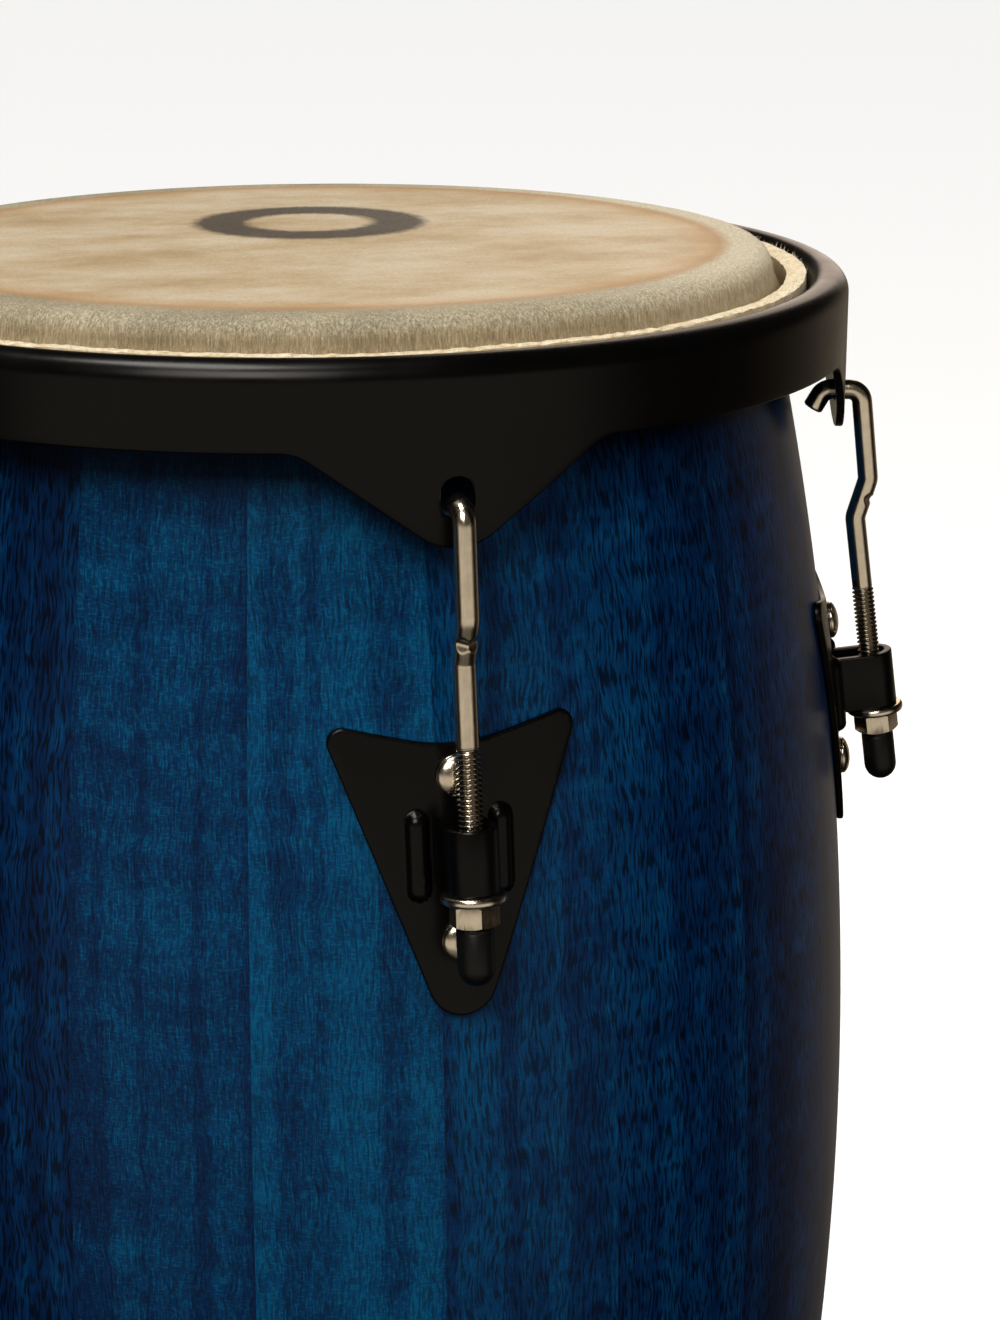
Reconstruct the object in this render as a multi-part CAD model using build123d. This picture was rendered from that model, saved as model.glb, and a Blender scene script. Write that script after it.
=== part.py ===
from build123d import *
import math
import os

# A ten-inch conga drum: a bellied shell of glued staves, a rawhide head on a flesh hoop,
# and a steel rim drawn down by five hooks that hang in brackets on the shell.
# Millimetres, +Z up. The origin is the centre of the foot, on the floor. Hook 1 faces -Y.

# ---- driving dimensions ----------------------------------------------------------------
INCH = 25.4
BEARING_EDGE = 28 * INCH  # floor to the top of the wood
HEAD_RADIUS = 5 * INCH  # the shell's outside at the bearing edge
BELLY_RADIUS = 157.1  # the widest place, outside
BELLY_HEIGHT = 457.0
TAPER_TOP = 330.0  # the shell is a straight cone below this height
WALL = 11.0
STAVES = 20
FIRST_JOINT = -2.0  # degrees from hook 1 to the nearest joint between staves
EDGE_ROUND = 4.0  # outer rounding of the bearing edge
EDGE_EASE = 2.0  # inner rounding of the bearing edge

LUGS = 5
LUG_PITCH = 360 / LUGS

SKIN = 2.2
SKIN_GAP = 0.1  # between the hide and the wood

RIM_BOTTOM = BEARING_EDGE - 26.3  # lower edge of the rim's band, between the ears
RIM_RADIUS = 151.5
RIM_SHEET = 2.3
RIM_ROLL = 5.55  # outside radius of the rolled top
RIM_ROLL_HEIGHT = 16.65  # from the band's lower edge to the middle of the roll
RIM_LIP_HEIGHT = 14.0  # where the turned-in lip starts to round off, above the folded hide
EAR_HALF_WIDTH = 38.4
EAR_POINT = 28.0  # depth of the ear's sides, extended to a sharp point
EAR_TIP_ROUND = 15.5
EAR_ROOT_ROUND = 12.0
EAR_HOLE_WIDTH = 8.3
EAR_HOLE_TOP = -6.8
EAR_HOLE_BOTTOM = -17.0

HOOP_RADIUS = 142.2  # flesh hoop, to the middle of its rod
HOOP_ROD = 4.0  # radius of the rod
HOOP_HEIGHT = 6.0  # above the rim's lower edge
HIDE_END_HEIGHT = 22.4  # the hide's cut end, standing up inside the rim
HIDE_END = (134.6, 138.2)  # inner and outer radius of the cut end

ROD_RADIUS = 2.9  # plain part of the hook
THREAD_RADIUS = 0.25 * INCH / 2  # a quarter-inch coarse thread
HOOK_TAIL = (142.9, -19.4)  # radius and height, from the rim's lower edge
HOOK_BACK = 146.1  # where the tail turns down behind the ear
HOOK_TOP = -13.8
HOOK_FRONT = 156.75
KINK_TOP = (159.7, -40.2)
KINK_BOTTOM = 1.5  # distance down the axis from AXIS_START to the end of the kink
HOOK_BENDS = [3.9, 4.0, 5.0, 5.0]  # middle-line radii of tail, front and kink
AXIS_START = (156.2, -50.0)  # on the lower shank, just above the kink's end
AXIS_TILT = 7.7  # degrees: the foot of the hook stands out from the shell
THREAD_FROM = 22.2  # distances down the hook's axis from AXIS_START
BRACKET_FROM = 42.25
BRACKET_TO = 58.7
WASHER_TO = 61.15
NUT_FROM = 61.3
NUT_TO = 66.86
CAP_FROM = 67.2
ROD_END = 77.6

BRACKET_RADIUS = 6.65
BRACKET_STRAP = 2.4
FOOT_REACH = 12.4  # half the width over the bracket's two feet
NUT_FLATS = 7 / 16 * INCH
NUT_CLEARANCE = 0.05
CAP_RADIUS = 4.7
WASHER_RADIUS = 8.3

PLATE = 2.0
PLATE_GAP = 0.1  # the plate's paint and the shell's lacquer
PLATE_CORNER = (33.8, -68.0)
PLATE_DIP = -76.1
PLATE_POINT = -161.9
PLATE_DIP_ROUND = 50.0
PLATE_CORNER_ROUND = 3.8
PLATE_TIP_ROUND = 9.0
RIB_RADIUS = 2.65
RIB_LENGTH = 22.0
RIB_OFFSET = 10.7
RIB_MIDDLE = -102.2

BOLT_HEIGHTS = (-83.0, -124.8)
BOLT_RADIUS = 3.0
BOLT_HOLE = 3.3
BOLT_HEAD_RADIUS = 5.5
BOLT_HEAD = 3.1
SEAT_DEPTH = 8.6  # from the shell's outside to the faced seat of the inner washer
BOLT_WASHER_RADIUS = 9.0
BOLT_WASHER = 1.6
BOLT_NUT_FLATS = 10.0
BOLT_NUT = 5.0

BASE_FLOOR = 4.0  # rubber under the staves
BASE_LIP = 16.0  # height of the rubber ring
BASE_WALL = 3.0

# ---- shape of the shell ----------------------------------------------------------------
rise = BEARING_EDGE - BELLY_HEIGHT
swell = BELLY_RADIUS - HEAD_RADIUS
BELLY_ARC = (rise**2 + swell**2) / (2 * swell)
ARC_CENTRE = BELLY_RADIUS - BELLY_ARC
TAPER_SLOPE = (BELLY_HEIGHT - TAPER_TOP) / math.sqrt(BELLY_ARC**2 - (BELLY_HEIGHT - TAPER_TOP) ** 2)


def shell_radius(z, offset=0.0):
    """Outside radius of the shell at a height, or of a surface offset from it."""
    arc = BELLY_ARC + offset
    if z >= TAPER_TOP:
        return ARC_CENTRE + math.sqrt(arc**2 - (z - BELLY_HEIGHT) ** 2)
    at_top = ARC_CENTRE + math.sqrt(arc**2 - (TAPER_TOP - BELLY_HEIGHT) ** 2)
    return at_top - TAPER_SLOPE * (TAPER_TOP - z)


def section(*edges):
    """A face in the XZ plane, from edges drawn with X as radius and Y as height."""
    return Plane.XZ * make_face(edges)


def ring(*edges):
    """A full turn of a section."""
    return revolve(section(*edges), Axis.Z)


def sector(face, half_angle):
    """Part of a turn of a section, centred on +X."""
    return Rot(0, 0, -half_angle) * revolve(face, Axis.Z, 2 * half_angle)


def side_line(z_low, z_high, offset):
    """The shell's side between two heights of the belly's arc, as one edge."""
    low = (shell_radius(z_low, offset), z_low)
    high = (shell_radius(z_high, offset), z_high)
    middle = (z_low + z_high) / 2
    return ThreePointArc(low, (shell_radius(middle, offset), middle), high)


def belly_solid(offset, z_low, z_high):
    """The solid inside a surface offset from the shell, for a lug's surroundings."""
    side = side_line(z_low, z_high, offset)
    outline = Polyline(side @ 1, (0, z_high), (0, z_low), side @ 0)
    return sector(section(side, outline), LUG_PITCH / 3)


def belly_band(inner, outer, z_low, z_high):
    return belly_solid(outer, z_low, z_high) - belly_solid(inner, z_low, z_high)


def above_floor(height):
    """Height above the floor of a height given from the rim's lower edge."""
    return RIM_BOTTOM + height


def on_shell(height, offset=0.0):
    """A place on the shell with its Z along the outward normal; height is from the rim's edge."""
    z = above_floor(height)
    lean = math.asin((z - BELLY_HEIGHT) / BELLY_ARC)
    reach = BELLY_ARC + offset
    centre = (ARC_CENTRE + reach * math.cos(lean), 0, BELLY_HEIGHT + reach * math.sin(lean))
    return Location(centre, (0, 90 - math.degrees(lean), 0))


def on_axis(distance):
    """A place on a hook's tilted axis, with its Z up along the axis."""
    start = Location((AXIS_START[0], 0, above_floor(AXIS_START[1])), (0, -AXIS_TILT, 0))
    return start * Location((0, 0, -distance))


def axis_bar(radius, start, end):
    """A round bar on a hook's axis between two distances down it."""
    middle = (start + end) / 2
    return on_axis(middle) * Cylinder(radius, end - start)


def at_lug(number, shape):
    """Turn a shape made at +X to its lug. Lug 0 faces -Y."""
    return Rot(0, 0, LUG_PITCH * number - 90) * shape


def hexagon(flats, height):
    return extrude(RegularPolygon(flats / 2, 6, major_radius=False), height)


TOP = (Align.CENTER, Align.CENTER, Align.MAX)
BOTTOM = (Align.CENTER, Align.CENTER, Align.MIN)
PLATE_SPAN = (above_floor(-160), above_floor(-60))  # heights well past a plate's ends


# ---- shell -----------------------------------------------------------------------------
def stave_blank():
    """One stave, centred on +X: turned round outside, left flat across inside."""
    half = 180 / STAVES
    foot = BASE_FLOOR
    edge_start = BEARING_EDGE - EDGE_ROUND
    edge_radius = shell_radius(edge_start)
    side = side_line(TAPER_TOP, edge_start, 0)
    taper = Line((shell_radius(foot), foot), side @ 0)
    round_over = RadiusArc(side @ 1, (edge_radius - EDGE_ROUND, BEARING_EDGE), -EDGE_ROUND)
    back = Polyline(round_over @ 1, (0, BEARING_EDGE), (0, foot), taper @ 0)
    blank = sector(section(taper, side, round_over, back), half)

    ease_start = BEARING_EDGE - EDGE_EASE
    hollow = side_line(TAPER_TOP, ease_start, -WALL)
    below = foot - 1
    hollow_taper = Line((shell_radius(below, -WALL), below), hollow @ 0)
    ease_end = ((hollow @ 1).X + EDGE_EASE, BEARING_EDGE)
    ease = RadiusArc(hollow @ 1, ease_end, EDGE_EASE)
    above = BEARING_EDGE + 1
    outline = Polyline(ease @ 1, (ease_end[0], above), (0, above), (0, below), hollow_taper @ 0)
    inside = extrude(section(hollow_taper, hollow, ease, outline), BELLY_RADIUS / 4, both=True)
    return blank - inside


def lug_cutter():
    """What is cut from the staves at one lug: bolt holes, washer seats, room for the feet."""
    cutter = []
    for height in BOLT_HEIGHTS:
        place = on_shell(height)
        cutter.append(place * Cylinder(BOLT_HOLE, 60))
        seat = Pos(0, 0, -SEAT_DEPTH) * Cylinder(BOLT_WASHER_RADIUS + 1, 20, align=TOP)
        cutter.append(place * seat)
    room = on_axis((BRACKET_FROM + BRACKET_TO) / 2) * Box(60, 2 * FOOT_REACH + 2, 19)
    depth = belly_band(-BRACKET_STRAP - 0.3, 1, *PLATE_SPAN)
    return cutter + [room & depth]


def make_staves():
    """Staves in order around the shell. Each lug's fittings cut the two that meet beside it."""
    blank = stave_blank()
    pitch = 360 / STAVES
    per_lug = STAVES // LUGS
    cutter = lug_cutter()
    staves = {}
    for number in range(STAVES):
        centre = FIRST_JOINT + pitch * (number + 0.5)
        stave = Rot(0, 0, centre - 90) * blank
        for lug in range(LUGS):
            if number in (lug * per_lug, (lug * per_lug - 1) % STAVES):
                stave -= [at_lug(lug, tool) for tool in cutter]
        staves[f"stave_{number + 1:02d}"] = stave
    return staves


def make_base_ring():
    """Rubber ring under the staves and a little way up their outside."""
    outside = shell_radius(BASE_LIP) + BASE_WALL
    foot_outside = shell_radius(BASE_FLOOR) + BASE_WALL
    inside = shell_radius(BASE_FLOOR, -WALL) - 0.6
    fit = 0.1
    points = [
        (inside, 0),
        (foot_outside, 0),
        (outside, BASE_LIP),
        (shell_radius(BASE_LIP) + fit, BASE_LIP),
        (shell_radius(BASE_FLOOR) + fit, BASE_FLOOR),
        (inside, BASE_FLOOR),
    ]
    face = make_face(Polyline(*points, close=True))
    outer_corners = [v for v in face.vertices() if v.X > foot_outside - 0.1]
    return revolve(Plane.XZ * fillet(outer_corners, 1.4), Axis.Z)


# ---- plates, brackets and their bolts ----------------------------------------------------
def plate_outline():
    """Swept triangle seen from outside: X across, Y up from the rim's lower edge."""
    wide, high = PLATE_CORNER
    corners = [(0, PLATE_DIP), (wide, high), (0, PLATE_POINT), (-wide, high)]
    face = make_face(Polyline(*corners, close=True))
    by_height = face.vertices().sort_by(Axis.Y)
    tip, dip = by_height[0], by_height[1]
    ears = by_height[2:]
    face = fillet(tip, PLATE_TIP_ROUND)
    dip = face.vertices().sort_by_distance(dip)[0]
    face = fillet(dip, PLATE_DIP_ROUND)
    ears = [face.vertices().sort_by_distance(ear)[0] for ear in ears]
    return fillet(ears, PLATE_CORNER_ROUND)


def pressed_rib():
    """A half-round rib with round ends, standing on the plate beside the bracket."""
    straight = RIB_LENGTH - 2 * RIB_RADIUS
    rib = Cylinder(RIB_RADIUS, straight)
    for end in (-1, 1):
        rib += Pos(0, 0, end * straight / 2) * Sphere(RIB_RADIUS)
    return rib


def make_side_plate():
    face = Plane.YZ * Pos(0, RIM_BOTTOM) * plate_outline()
    plate = extrude(face, 200) & belly_band(PLATE_GAP, PLATE_GAP + PLATE, *PLATE_SPAN)
    axis_place = on_axis((BRACKET_FROM + BRACKET_TO) / 2)
    for side in (-1, 1):
        foot = on_shell(RIB_MIDDLE, PLATE_GAP + PLATE - 0.15)
        # the rib runs up the plate, which curves away across it
        turn = math.degrees(math.asin(RIB_OFFSET / foot.position.X))
        rib = foot * Rot(0, 90, 0) * pressed_rib()
        plate += Rot(0, 0, side * turn) * rib - belly_solid(PLATE_GAP, *PLATE_SPAN)
    strap_middle = BRACKET_RADIUS - BRACKET_STRAP / 2
    slot = Box(40, BRACKET_STRAP + 0.5, BRACKET_TO - BRACKET_FROM + 0.8)
    for side in (-1, 1):
        plate -= axis_place * Pos(0, side * strap_middle, 0) * slot
    for bolt_height in BOLT_HEIGHTS:
        plate -= on_shell(bolt_height) * Cylinder(BOLT_HOLE, 20)
    return plate


def make_bracket():
    """A strap bent round the hook, with feet turned out behind the plate."""
    height = BRACKET_TO - BRACKET_FROM
    back = 18.0
    inner = BRACKET_RADIUS - BRACKET_STRAP
    strap = Circle(BRACKET_RADIUS) + Pos(-back / 2, 0) * Rectangle(back, 2 * BRACKET_RADIUS)
    gap = Circle(inner) + Pos(-back / 2, 0) * Rectangle(back + 1, 2 * inner)
    place = on_axis(BRACKET_TO)
    legs = place * extrude(strap - gap, height) - belly_solid(-BRACKET_STRAP, *PLATE_SPAN)
    middle = on_axis((BRACKET_FROM + BRACKET_TO) / 2)
    feet = middle * (Box(60, 2 * FOOT_REACH, height) - Box(60, 2 * inner, height))
    feet &= belly_band(-BRACKET_STRAP, 0, *PLATE_SPAN)
    return legs + feet


def dome_bolt():
    """A round-headed bolt with its head's seat at Z = 0 and its shank going down."""
    rim_height = 0.5
    crown = ThreePointArc((0, BOLT_HEAD), (BOLT_HEAD_RADIUS * 0.62, 2.35), (BOLT_HEAD_RADIUS, rim_height))
    shank_end = -(SEAT_DEPTH + PLATE_GAP + PLATE + BOLT_WASHER + BOLT_NUT + 2)
    outline = Polyline(
        crown @ 1,
        (BOLT_HEAD_RADIUS, 0),
        (BOLT_RADIUS, 0),
        (BOLT_RADIUS, shank_end + 0.6),
        (BOLT_RADIUS - 0.6, shank_end),
        (0, shank_end),
        crown @ 0,
    )
    return ring(crown, outline)


def make_plate_fasteners():
    """Bolts, washers and nuts of all the plates, each kind as one group of solids."""
    bolts, washers, nuts = [], [], []
    bolt = dome_bolt()
    washer = Cylinder(BOLT_WASHER_RADIUS, BOLT_WASHER, align=TOP)
    washer -= Cylinder(BOLT_RADIUS + 0.3, 10)
    nut = Pos(0, 0, -BOLT_NUT) * hexagon(BOLT_NUT_FLATS, BOLT_NUT)
    nut -= Cylinder(BOLT_RADIUS + 0.05, 30)
    for number in range(LUGS):
        for height in BOLT_HEIGHTS:
            bolts.append(at_lug(number, on_shell(height, PLATE_GAP + PLATE) * bolt))
            washer_face = on_shell(height, -SEAT_DEPTH)
            washers.append(at_lug(number, washer_face * washer))
            nuts.append(at_lug(number, washer_face * Pos(0, 0, -BOLT_WASHER) * nut))
    return {
        "plate_bolts": Compound(children=bolts),
        "bolt_washers": Compound(children=washers),
        "bolt_nuts": Compound(children=nuts),
    }


# ---- hooks, nuts and caps ----------------------------------------------------------------
def hook_path():
    """Middle line of the hook's plain part: tail, top, outer bend, shank and kink."""
    kink_end = on_axis(KINK_BOTTOM).position
    thread_start = on_axis(THREAD_FROM).position
    points = [HOOK_TAIL, (HOOK_BACK, HOOK_TOP), (HOOK_FRONT, HOOK_TOP), KINK_TOP]
    places = [Vector(radius, 0, above_floor(height)) for radius, height in points]
    return FilletPolyline(*places, kink_end, thread_start, radius=HOOK_BENDS)


def make_hook():
    path = hook_path()
    rod = sweep(Plane(origin=path @ 0, z_dir=path % 0) * Circle(ROD_RADIUS), path=path)
    thread = axis_bar(THREAD_RADIUS, THREAD_FROM, ROD_END)
    return rod + thread


def make_nut():
    height = NUT_TO - NUT_FROM
    body = on_axis(NUT_TO) * hexagon(NUT_FLATS, height)
    # the corners of the two end faces are turned off in a shallow cone
    corner = NUT_FLATS / math.sqrt(3)
    cone = Cone(corner + 0.1 + height / 2 * 1.7, corner - 0.55, height / 2, align=BOTTOM)
    middle = on_axis((NUT_FROM + NUT_TO) / 2)
    turned = middle * cone + middle * Rot(180, 0, 0) * cone
    return (body & turned) - axis_bar(THREAD_RADIUS + NUT_CLEARANCE, NUT_FROM - 1, NUT_TO + 1)


def make_cap():
    """A soft cap with a round end, pushed on the thread below the nut."""
    cap = axis_bar(CAP_RADIUS, CAP_FROM, ROD_END) + on_axis(ROD_END) * Sphere(CAP_RADIUS)
    return cap - axis_bar(THREAD_RADIUS + 0.02, CAP_FROM - 1, ROD_END)


def make_tuning_washer():
    height = WASHER_TO - BRACKET_TO
    body = Cylinder(WASHER_RADIUS, height)
    body = fillet(body.edges(), height / 3)
    return on_axis((BRACKET_TO + WASHER_TO) / 2) * (body - Cylinder(THREAD_RADIUS + 0.35, 10))


# ---- rim, flesh hoop and hide --------------------------------------------------------------
def ear_outline():
    """One ear and its root fillets: X across, Y up from the rim's lower edge."""
    slope = EAR_POINT / EAR_HALF_WIDTH
    run = 12.0
    line = FilletPolyline(
        (-EAR_HALF_WIDTH - run, 0),
        (-EAR_HALF_WIDTH, 0),
        (0, -slope * EAR_HALF_WIDTH),
        (EAR_HALF_WIDTH, 0),
        (EAR_HALF_WIDTH + run, 0),
        radius=[EAR_ROOT_ROUND, EAR_TIP_ROUND, EAR_ROOT_ROUND],
    )
    top = Polyline(line @ 1, (EAR_HALF_WIDTH + run, 1), (-EAR_HALF_WIDTH - run, 1), line @ 0)
    hole_height = EAR_HOLE_TOP - EAR_HOLE_BOTTOM
    hole_middle = (EAR_HOLE_TOP + EAR_HOLE_BOTTOM) / 2
    hole = Pos(0, hole_middle) * Rot(0, 0, 90) * SlotOverall(hole_height, EAR_HOLE_WIDTH)
    return make_face([line, top]) - hole


def make_rim():
    """Sheet steel: a band with five ears below and a top rolled inwards over the hide."""
    inside = RIM_RADIUS - RIM_SHEET
    middle = RIM_RADIUS - RIM_ROLL
    top = above_floor(RIM_ROLL_HEIGHT)
    lip = above_floor(RIM_LIP_HEIGHT)
    inner_roll = RIM_ROLL - RIM_SHEET
    outer = ThreePointArc((RIM_RADIUS, top), (middle, top + RIM_ROLL), (middle - RIM_ROLL, top))
    inner = ThreePointArc((middle - inner_roll, top), (middle, top + inner_roll), (inside, top))
    start, end = outer @ 1, inner @ 0
    lip_middle = ((start.X + end.X) / 2, lip - RIM_SHEET / 2)
    lip_end = ThreePointArc((start.X, lip), lip_middle, (end.X, lip))
    band = ring(
        outer,
        Line(outer @ 1, lip_end @ 0),
        lip_end,
        Line(lip_end @ 1, inner @ 0),
        inner,
        Polyline(inner @ 1, (inside, RIM_BOTTOM), (RIM_RADIUS, RIM_BOTTOM), outer @ 0),
    )
    low = above_floor(-EAR_POINT)
    wall = Polyline(
        (inside, low),
        (RIM_RADIUS, low),
        (RIM_RADIUS, above_floor(2)),
        (inside, above_floor(2)),
        close=True,
    )
    sheet = sector(section(wall), LUG_PITCH / 3)
    ear = extrude(Plane.YZ * Pos(0, RIM_BOTTOM) * ear_outline(), 2 * RIM_RADIUS) & sheet
    rim = band
    for number in range(LUGS):
        rim += at_lug(number, ear)
    return rim


def make_flesh_hoop():
    hoop = Pos(HOOP_RADIUS, above_floor(HOOP_HEIGHT)) * Circle(HOOP_ROD)
    return revolve(Plane.XZ * hoop, Axis.Z)


def make_head():
    """The hide in three pieces: over the wood, down to the hoop, and folded round the hoop."""
    edge_start = BEARING_EDGE - EDGE_ROUND
    edge_radius = shell_radius(edge_start)
    corner = Vector(edge_radius - EDGE_ROUND, edge_start)
    inner = EDGE_ROUND + SKIN_GAP
    outer = inner + SKIN
    skirt = 2.3  # how far the top piece comes down past the rounding
    skirt_low = edge_start - skirt
    flare = shell_radius(skirt_low) - edge_radius
    over = RadiusArc((corner.X, corner.Y + outer), (corner.X + outer, corner.Y), outer)
    under = RadiusArc((corner.X + inner, corner.Y), (corner.X, corner.Y + inner), -inner)
    low_out = (corner.X + outer + flare, skirt_low)
    low_in = (corner.X + inner + flare, skirt_low)
    top_line = Polyline(under @ 1, (0, corner.Y + inner), (0, corner.Y + outer), over @ 0)
    drum_skin = ring(over, Polyline(over @ 1, low_out, low_in, under @ 0), under, top_line)

    hoop = Vector(HOOP_RADIUS, above_floor(HOOP_HEIGHT))
    wrap_inner = HOOP_ROD + 0.05
    wrap_outer = wrap_inner + SKIN
    wrap_middle = (wrap_inner + wrap_outer) / 2
    start = Vector((low_in[0] + low_out[0]) / 2, skirt_low - 0.1)
    # the hide runs straight from the wood to a tangent under the hoop
    towards = hoop - start
    heading = math.atan2(towards.Y, towards.X) - math.asin(wrap_middle / towards.length)
    along = Vector(math.cos(heading), math.sin(heading))
    across = Vector(math.sin(heading), -math.cos(heading))
    touch = hoop + across * wrap_middle
    half = across * (SKIN / 2)
    clear_of_wood = 0.2
    collar_start = [(low_out[0], start.Y), (low_in[0] + clear_of_wood, start.Y)]
    skin_collar = ring(Polyline(*collar_start, touch + half, touch - half, close=True))

    turn_start = math.degrees(math.atan2(across.Y, across.X))
    turn = 120 - turn_start  # it leaves the hoop over the top, on the inner side
    outer_wrap = CenterArc(hoop, wrap_outer, turn_start, turn)
    inner_wrap = CenterArc(hoop, wrap_inner, turn_start, turn)
    ends = [Line(outer_wrap @ end, inner_wrap @ end) for end in (0, 1)]
    wrap = make_face([outer_wrap, inner_wrap, *ends])
    end_in, end_out = HIDE_END
    flap = Polyline(
        (hoop.X - SKIN, hoop.Y + wrap_inner - 0.4),
        (hoop.X - SKIN, hoop.Y + wrap_outer - 0.4),
        (end_out, above_floor(HIDE_END_HEIGHT)),
        (end_in, above_floor(HIDE_END_HEIGHT) - 0.6),
        (hoop.X - 5.0, hoop.Y + wrap_inner - 0.1),
        close=True,
    )
    fold = wrap + (make_face(flap) - Pos(hoop.X, hoop.Y) * Circle(wrap_inner))
    skin_fold = revolve(Plane.XZ * fold, Axis.Z)
    return {"drum_skin": drum_skin, "skin_collar": skin_collar, "skin_fold": skin_fold}


# ---- write every node ------------------------------------------------------------------------
def make_nodes():
    nodes = make_staves()
    nodes["base_ring"] = make_base_ring()
    nodes.update(make_plate_fasteners())
    nodes.update(make_head())
    nodes["rim"] = make_rim()
    nodes["flesh_hoop"] = make_flesh_hoop()
    washer = make_tuning_washer()
    washers = [at_lug(number, washer) for number in range(LUGS)]
    nodes["tuning_washers"] = Compound(children=washers)
    per_lug = {
        "side_plate": make_side_plate(),
        "lug_bracket": make_bracket(),
        "tuning_hook": make_hook(),
        "tuning_nut": make_nut(),
        "lug_cap": make_cap(),
    }
    for name, shape in per_lug.items():
        for number in range(LUGS):
            nodes[f"{name}_{number + 1}"] = at_lug(number, shape)
    return nodes


os.makedirs("parts", exist_ok=True)
for node, shape in make_nodes().items():
    export_step(shape, f"parts/{node}.step")
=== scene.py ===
import math
import random

import bmesh
import bpy
from mathutils import Matrix, Vector


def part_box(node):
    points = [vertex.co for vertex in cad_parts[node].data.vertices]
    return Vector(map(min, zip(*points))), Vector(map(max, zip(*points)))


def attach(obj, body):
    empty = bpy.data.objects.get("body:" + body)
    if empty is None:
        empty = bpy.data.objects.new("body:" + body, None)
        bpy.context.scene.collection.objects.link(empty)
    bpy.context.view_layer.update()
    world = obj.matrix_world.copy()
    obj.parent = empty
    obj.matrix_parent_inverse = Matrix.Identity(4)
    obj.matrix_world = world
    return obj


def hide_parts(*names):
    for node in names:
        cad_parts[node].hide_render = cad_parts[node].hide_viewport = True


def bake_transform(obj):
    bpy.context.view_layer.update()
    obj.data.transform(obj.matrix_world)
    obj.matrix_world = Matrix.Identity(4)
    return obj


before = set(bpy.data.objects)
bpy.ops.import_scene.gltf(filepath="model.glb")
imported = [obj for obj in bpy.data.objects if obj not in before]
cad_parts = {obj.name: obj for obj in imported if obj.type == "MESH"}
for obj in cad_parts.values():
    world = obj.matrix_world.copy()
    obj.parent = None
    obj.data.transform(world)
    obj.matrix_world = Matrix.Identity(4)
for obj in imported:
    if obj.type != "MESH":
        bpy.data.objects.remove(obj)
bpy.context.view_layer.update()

# A ten-inch conga. Metres, +Z up; lug 1 faces -Y and the others follow every 72 degrees.
MM = 0.001
LUGS = 5
STAVES = 20
FIRST_JOINT = -2.0  # degrees from lug 1 to the nearest glue joint

# ---- places taken from the frame --------------------------------------------------------------
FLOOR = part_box("base_ring")[0].z
WOOD_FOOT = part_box("stave_01")[0].z
BEARING_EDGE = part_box("stave_01")[1].z
SKIN_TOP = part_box("drum_skin")[1].z
RIM_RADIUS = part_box("rim")[1].x
RIM_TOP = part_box("rim")[1].z
RIM_EDGE = BEARING_EDGE - 26.3 * MM  # lower edge of the rim's band, between its ears
COLLAR_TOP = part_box("skin_collar")[1].z
HOOP_LOW, HOOP_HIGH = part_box("flesh_hoop")

# ---- the shell's curve ------------------------------------------------------------------------
HEAD_RADIUS = 127 * MM
BELLY_RADIUS = 157.1 * MM
BELLY_HEIGHT = 457 * MM
TAPER_TOP = 330 * MM
WALL = 11 * MM
rise = BEARING_EDGE - BELLY_HEIGHT
swell = BELLY_RADIUS - HEAD_RADIUS
BELLY_ARC = (rise**2 + swell**2) / (2 * swell)
ARC_CENTRE = BELLY_RADIUS - BELLY_ARC
TAPER_SLOPE = (BELLY_HEIGHT - TAPER_TOP) / math.sqrt(BELLY_ARC**2 - (BELLY_HEIGHT - TAPER_TOP) ** 2)

# ---- the hook's tilted axis, from the rim's lower edge ----------------------------------------
AXIS_START = (156.2 * MM, RIM_EDGE - 50 * MM)
AXIS_TILT = math.radians(7.7)
PITCH = 1.27 * MM  # quarter-inch coarse thread
THREAD_RADIUS = 3.175 * MM
ROD_RADIUS = 2.9 * MM
THREAD_FROM = 22.2 * MM
BRACKET_FROM = 42.25 * MM
BRACKET_TO = 58.7 * MM
WASHER_TO = 61.15 * MM
NUT_FROM = 61.3 * MM
NUT_TO = 66.86 * MM
CAP_FROM = 67.2 * MM
ROD_END = 77.6 * MM


def shell_radius(z, offset=0.0):
    arc = BELLY_ARC + offset
    at = max(z, TAPER_TOP)
    radius = ARC_CENTRE + math.sqrt(arc**2 - (at - BELLY_HEIGHT) ** 2)
    return radius - TAPER_SLOPE * (at - z)


# turns what is made at +X to each lug
LUG_TURNS = [Matrix.Rotation(math.radians(72 * number - 90), 4, "Z") for number in range(LUGS)]


def on_axis(distance):
    """The frame of a place on the hook's axis: Z runs up the axis, X points away from the drum."""
    start = Matrix.Translation((AXIS_START[0], 0, AXIS_START[1]))
    return start @ Matrix.Rotation(-AXIS_TILT, 4, "Y") @ Matrix.Translation((0, 0, -distance))


def on_shell(height, offset=0.0):
    """The frame of a place on the shell, Z along its outward normal; height from the rim's edge."""
    lean = math.asin((RIM_EDGE + height - BELLY_HEIGHT) / BELLY_ARC)
    reach = BELLY_ARC + offset
    place = (ARC_CENTRE + reach * math.cos(lean), 0, BELLY_HEIGHT + reach * math.sin(lean))
    return Matrix.Translation(place) @ Matrix.Rotation(math.pi / 2 - lean, 4, "Y")


# ---- mesh tools -------------------------------------------------------------------------------
def placed(name, data):
    """A new object in the scene, from a mesh, curve, light or camera."""
    thing = bpy.data.objects.new(name, data)
    bpy.context.scene.collection.objects.link(thing)
    return thing


def new_piece(name, verts, faces, sharp=40):
    mesh = bpy.data.meshes.new(name)
    mesh.from_pydata([tuple(v) for v in verts], [], faces)
    mesh.validate()
    piece = placed(name, mesh)
    tidy_normals(piece, sharp)
    return piece


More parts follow.
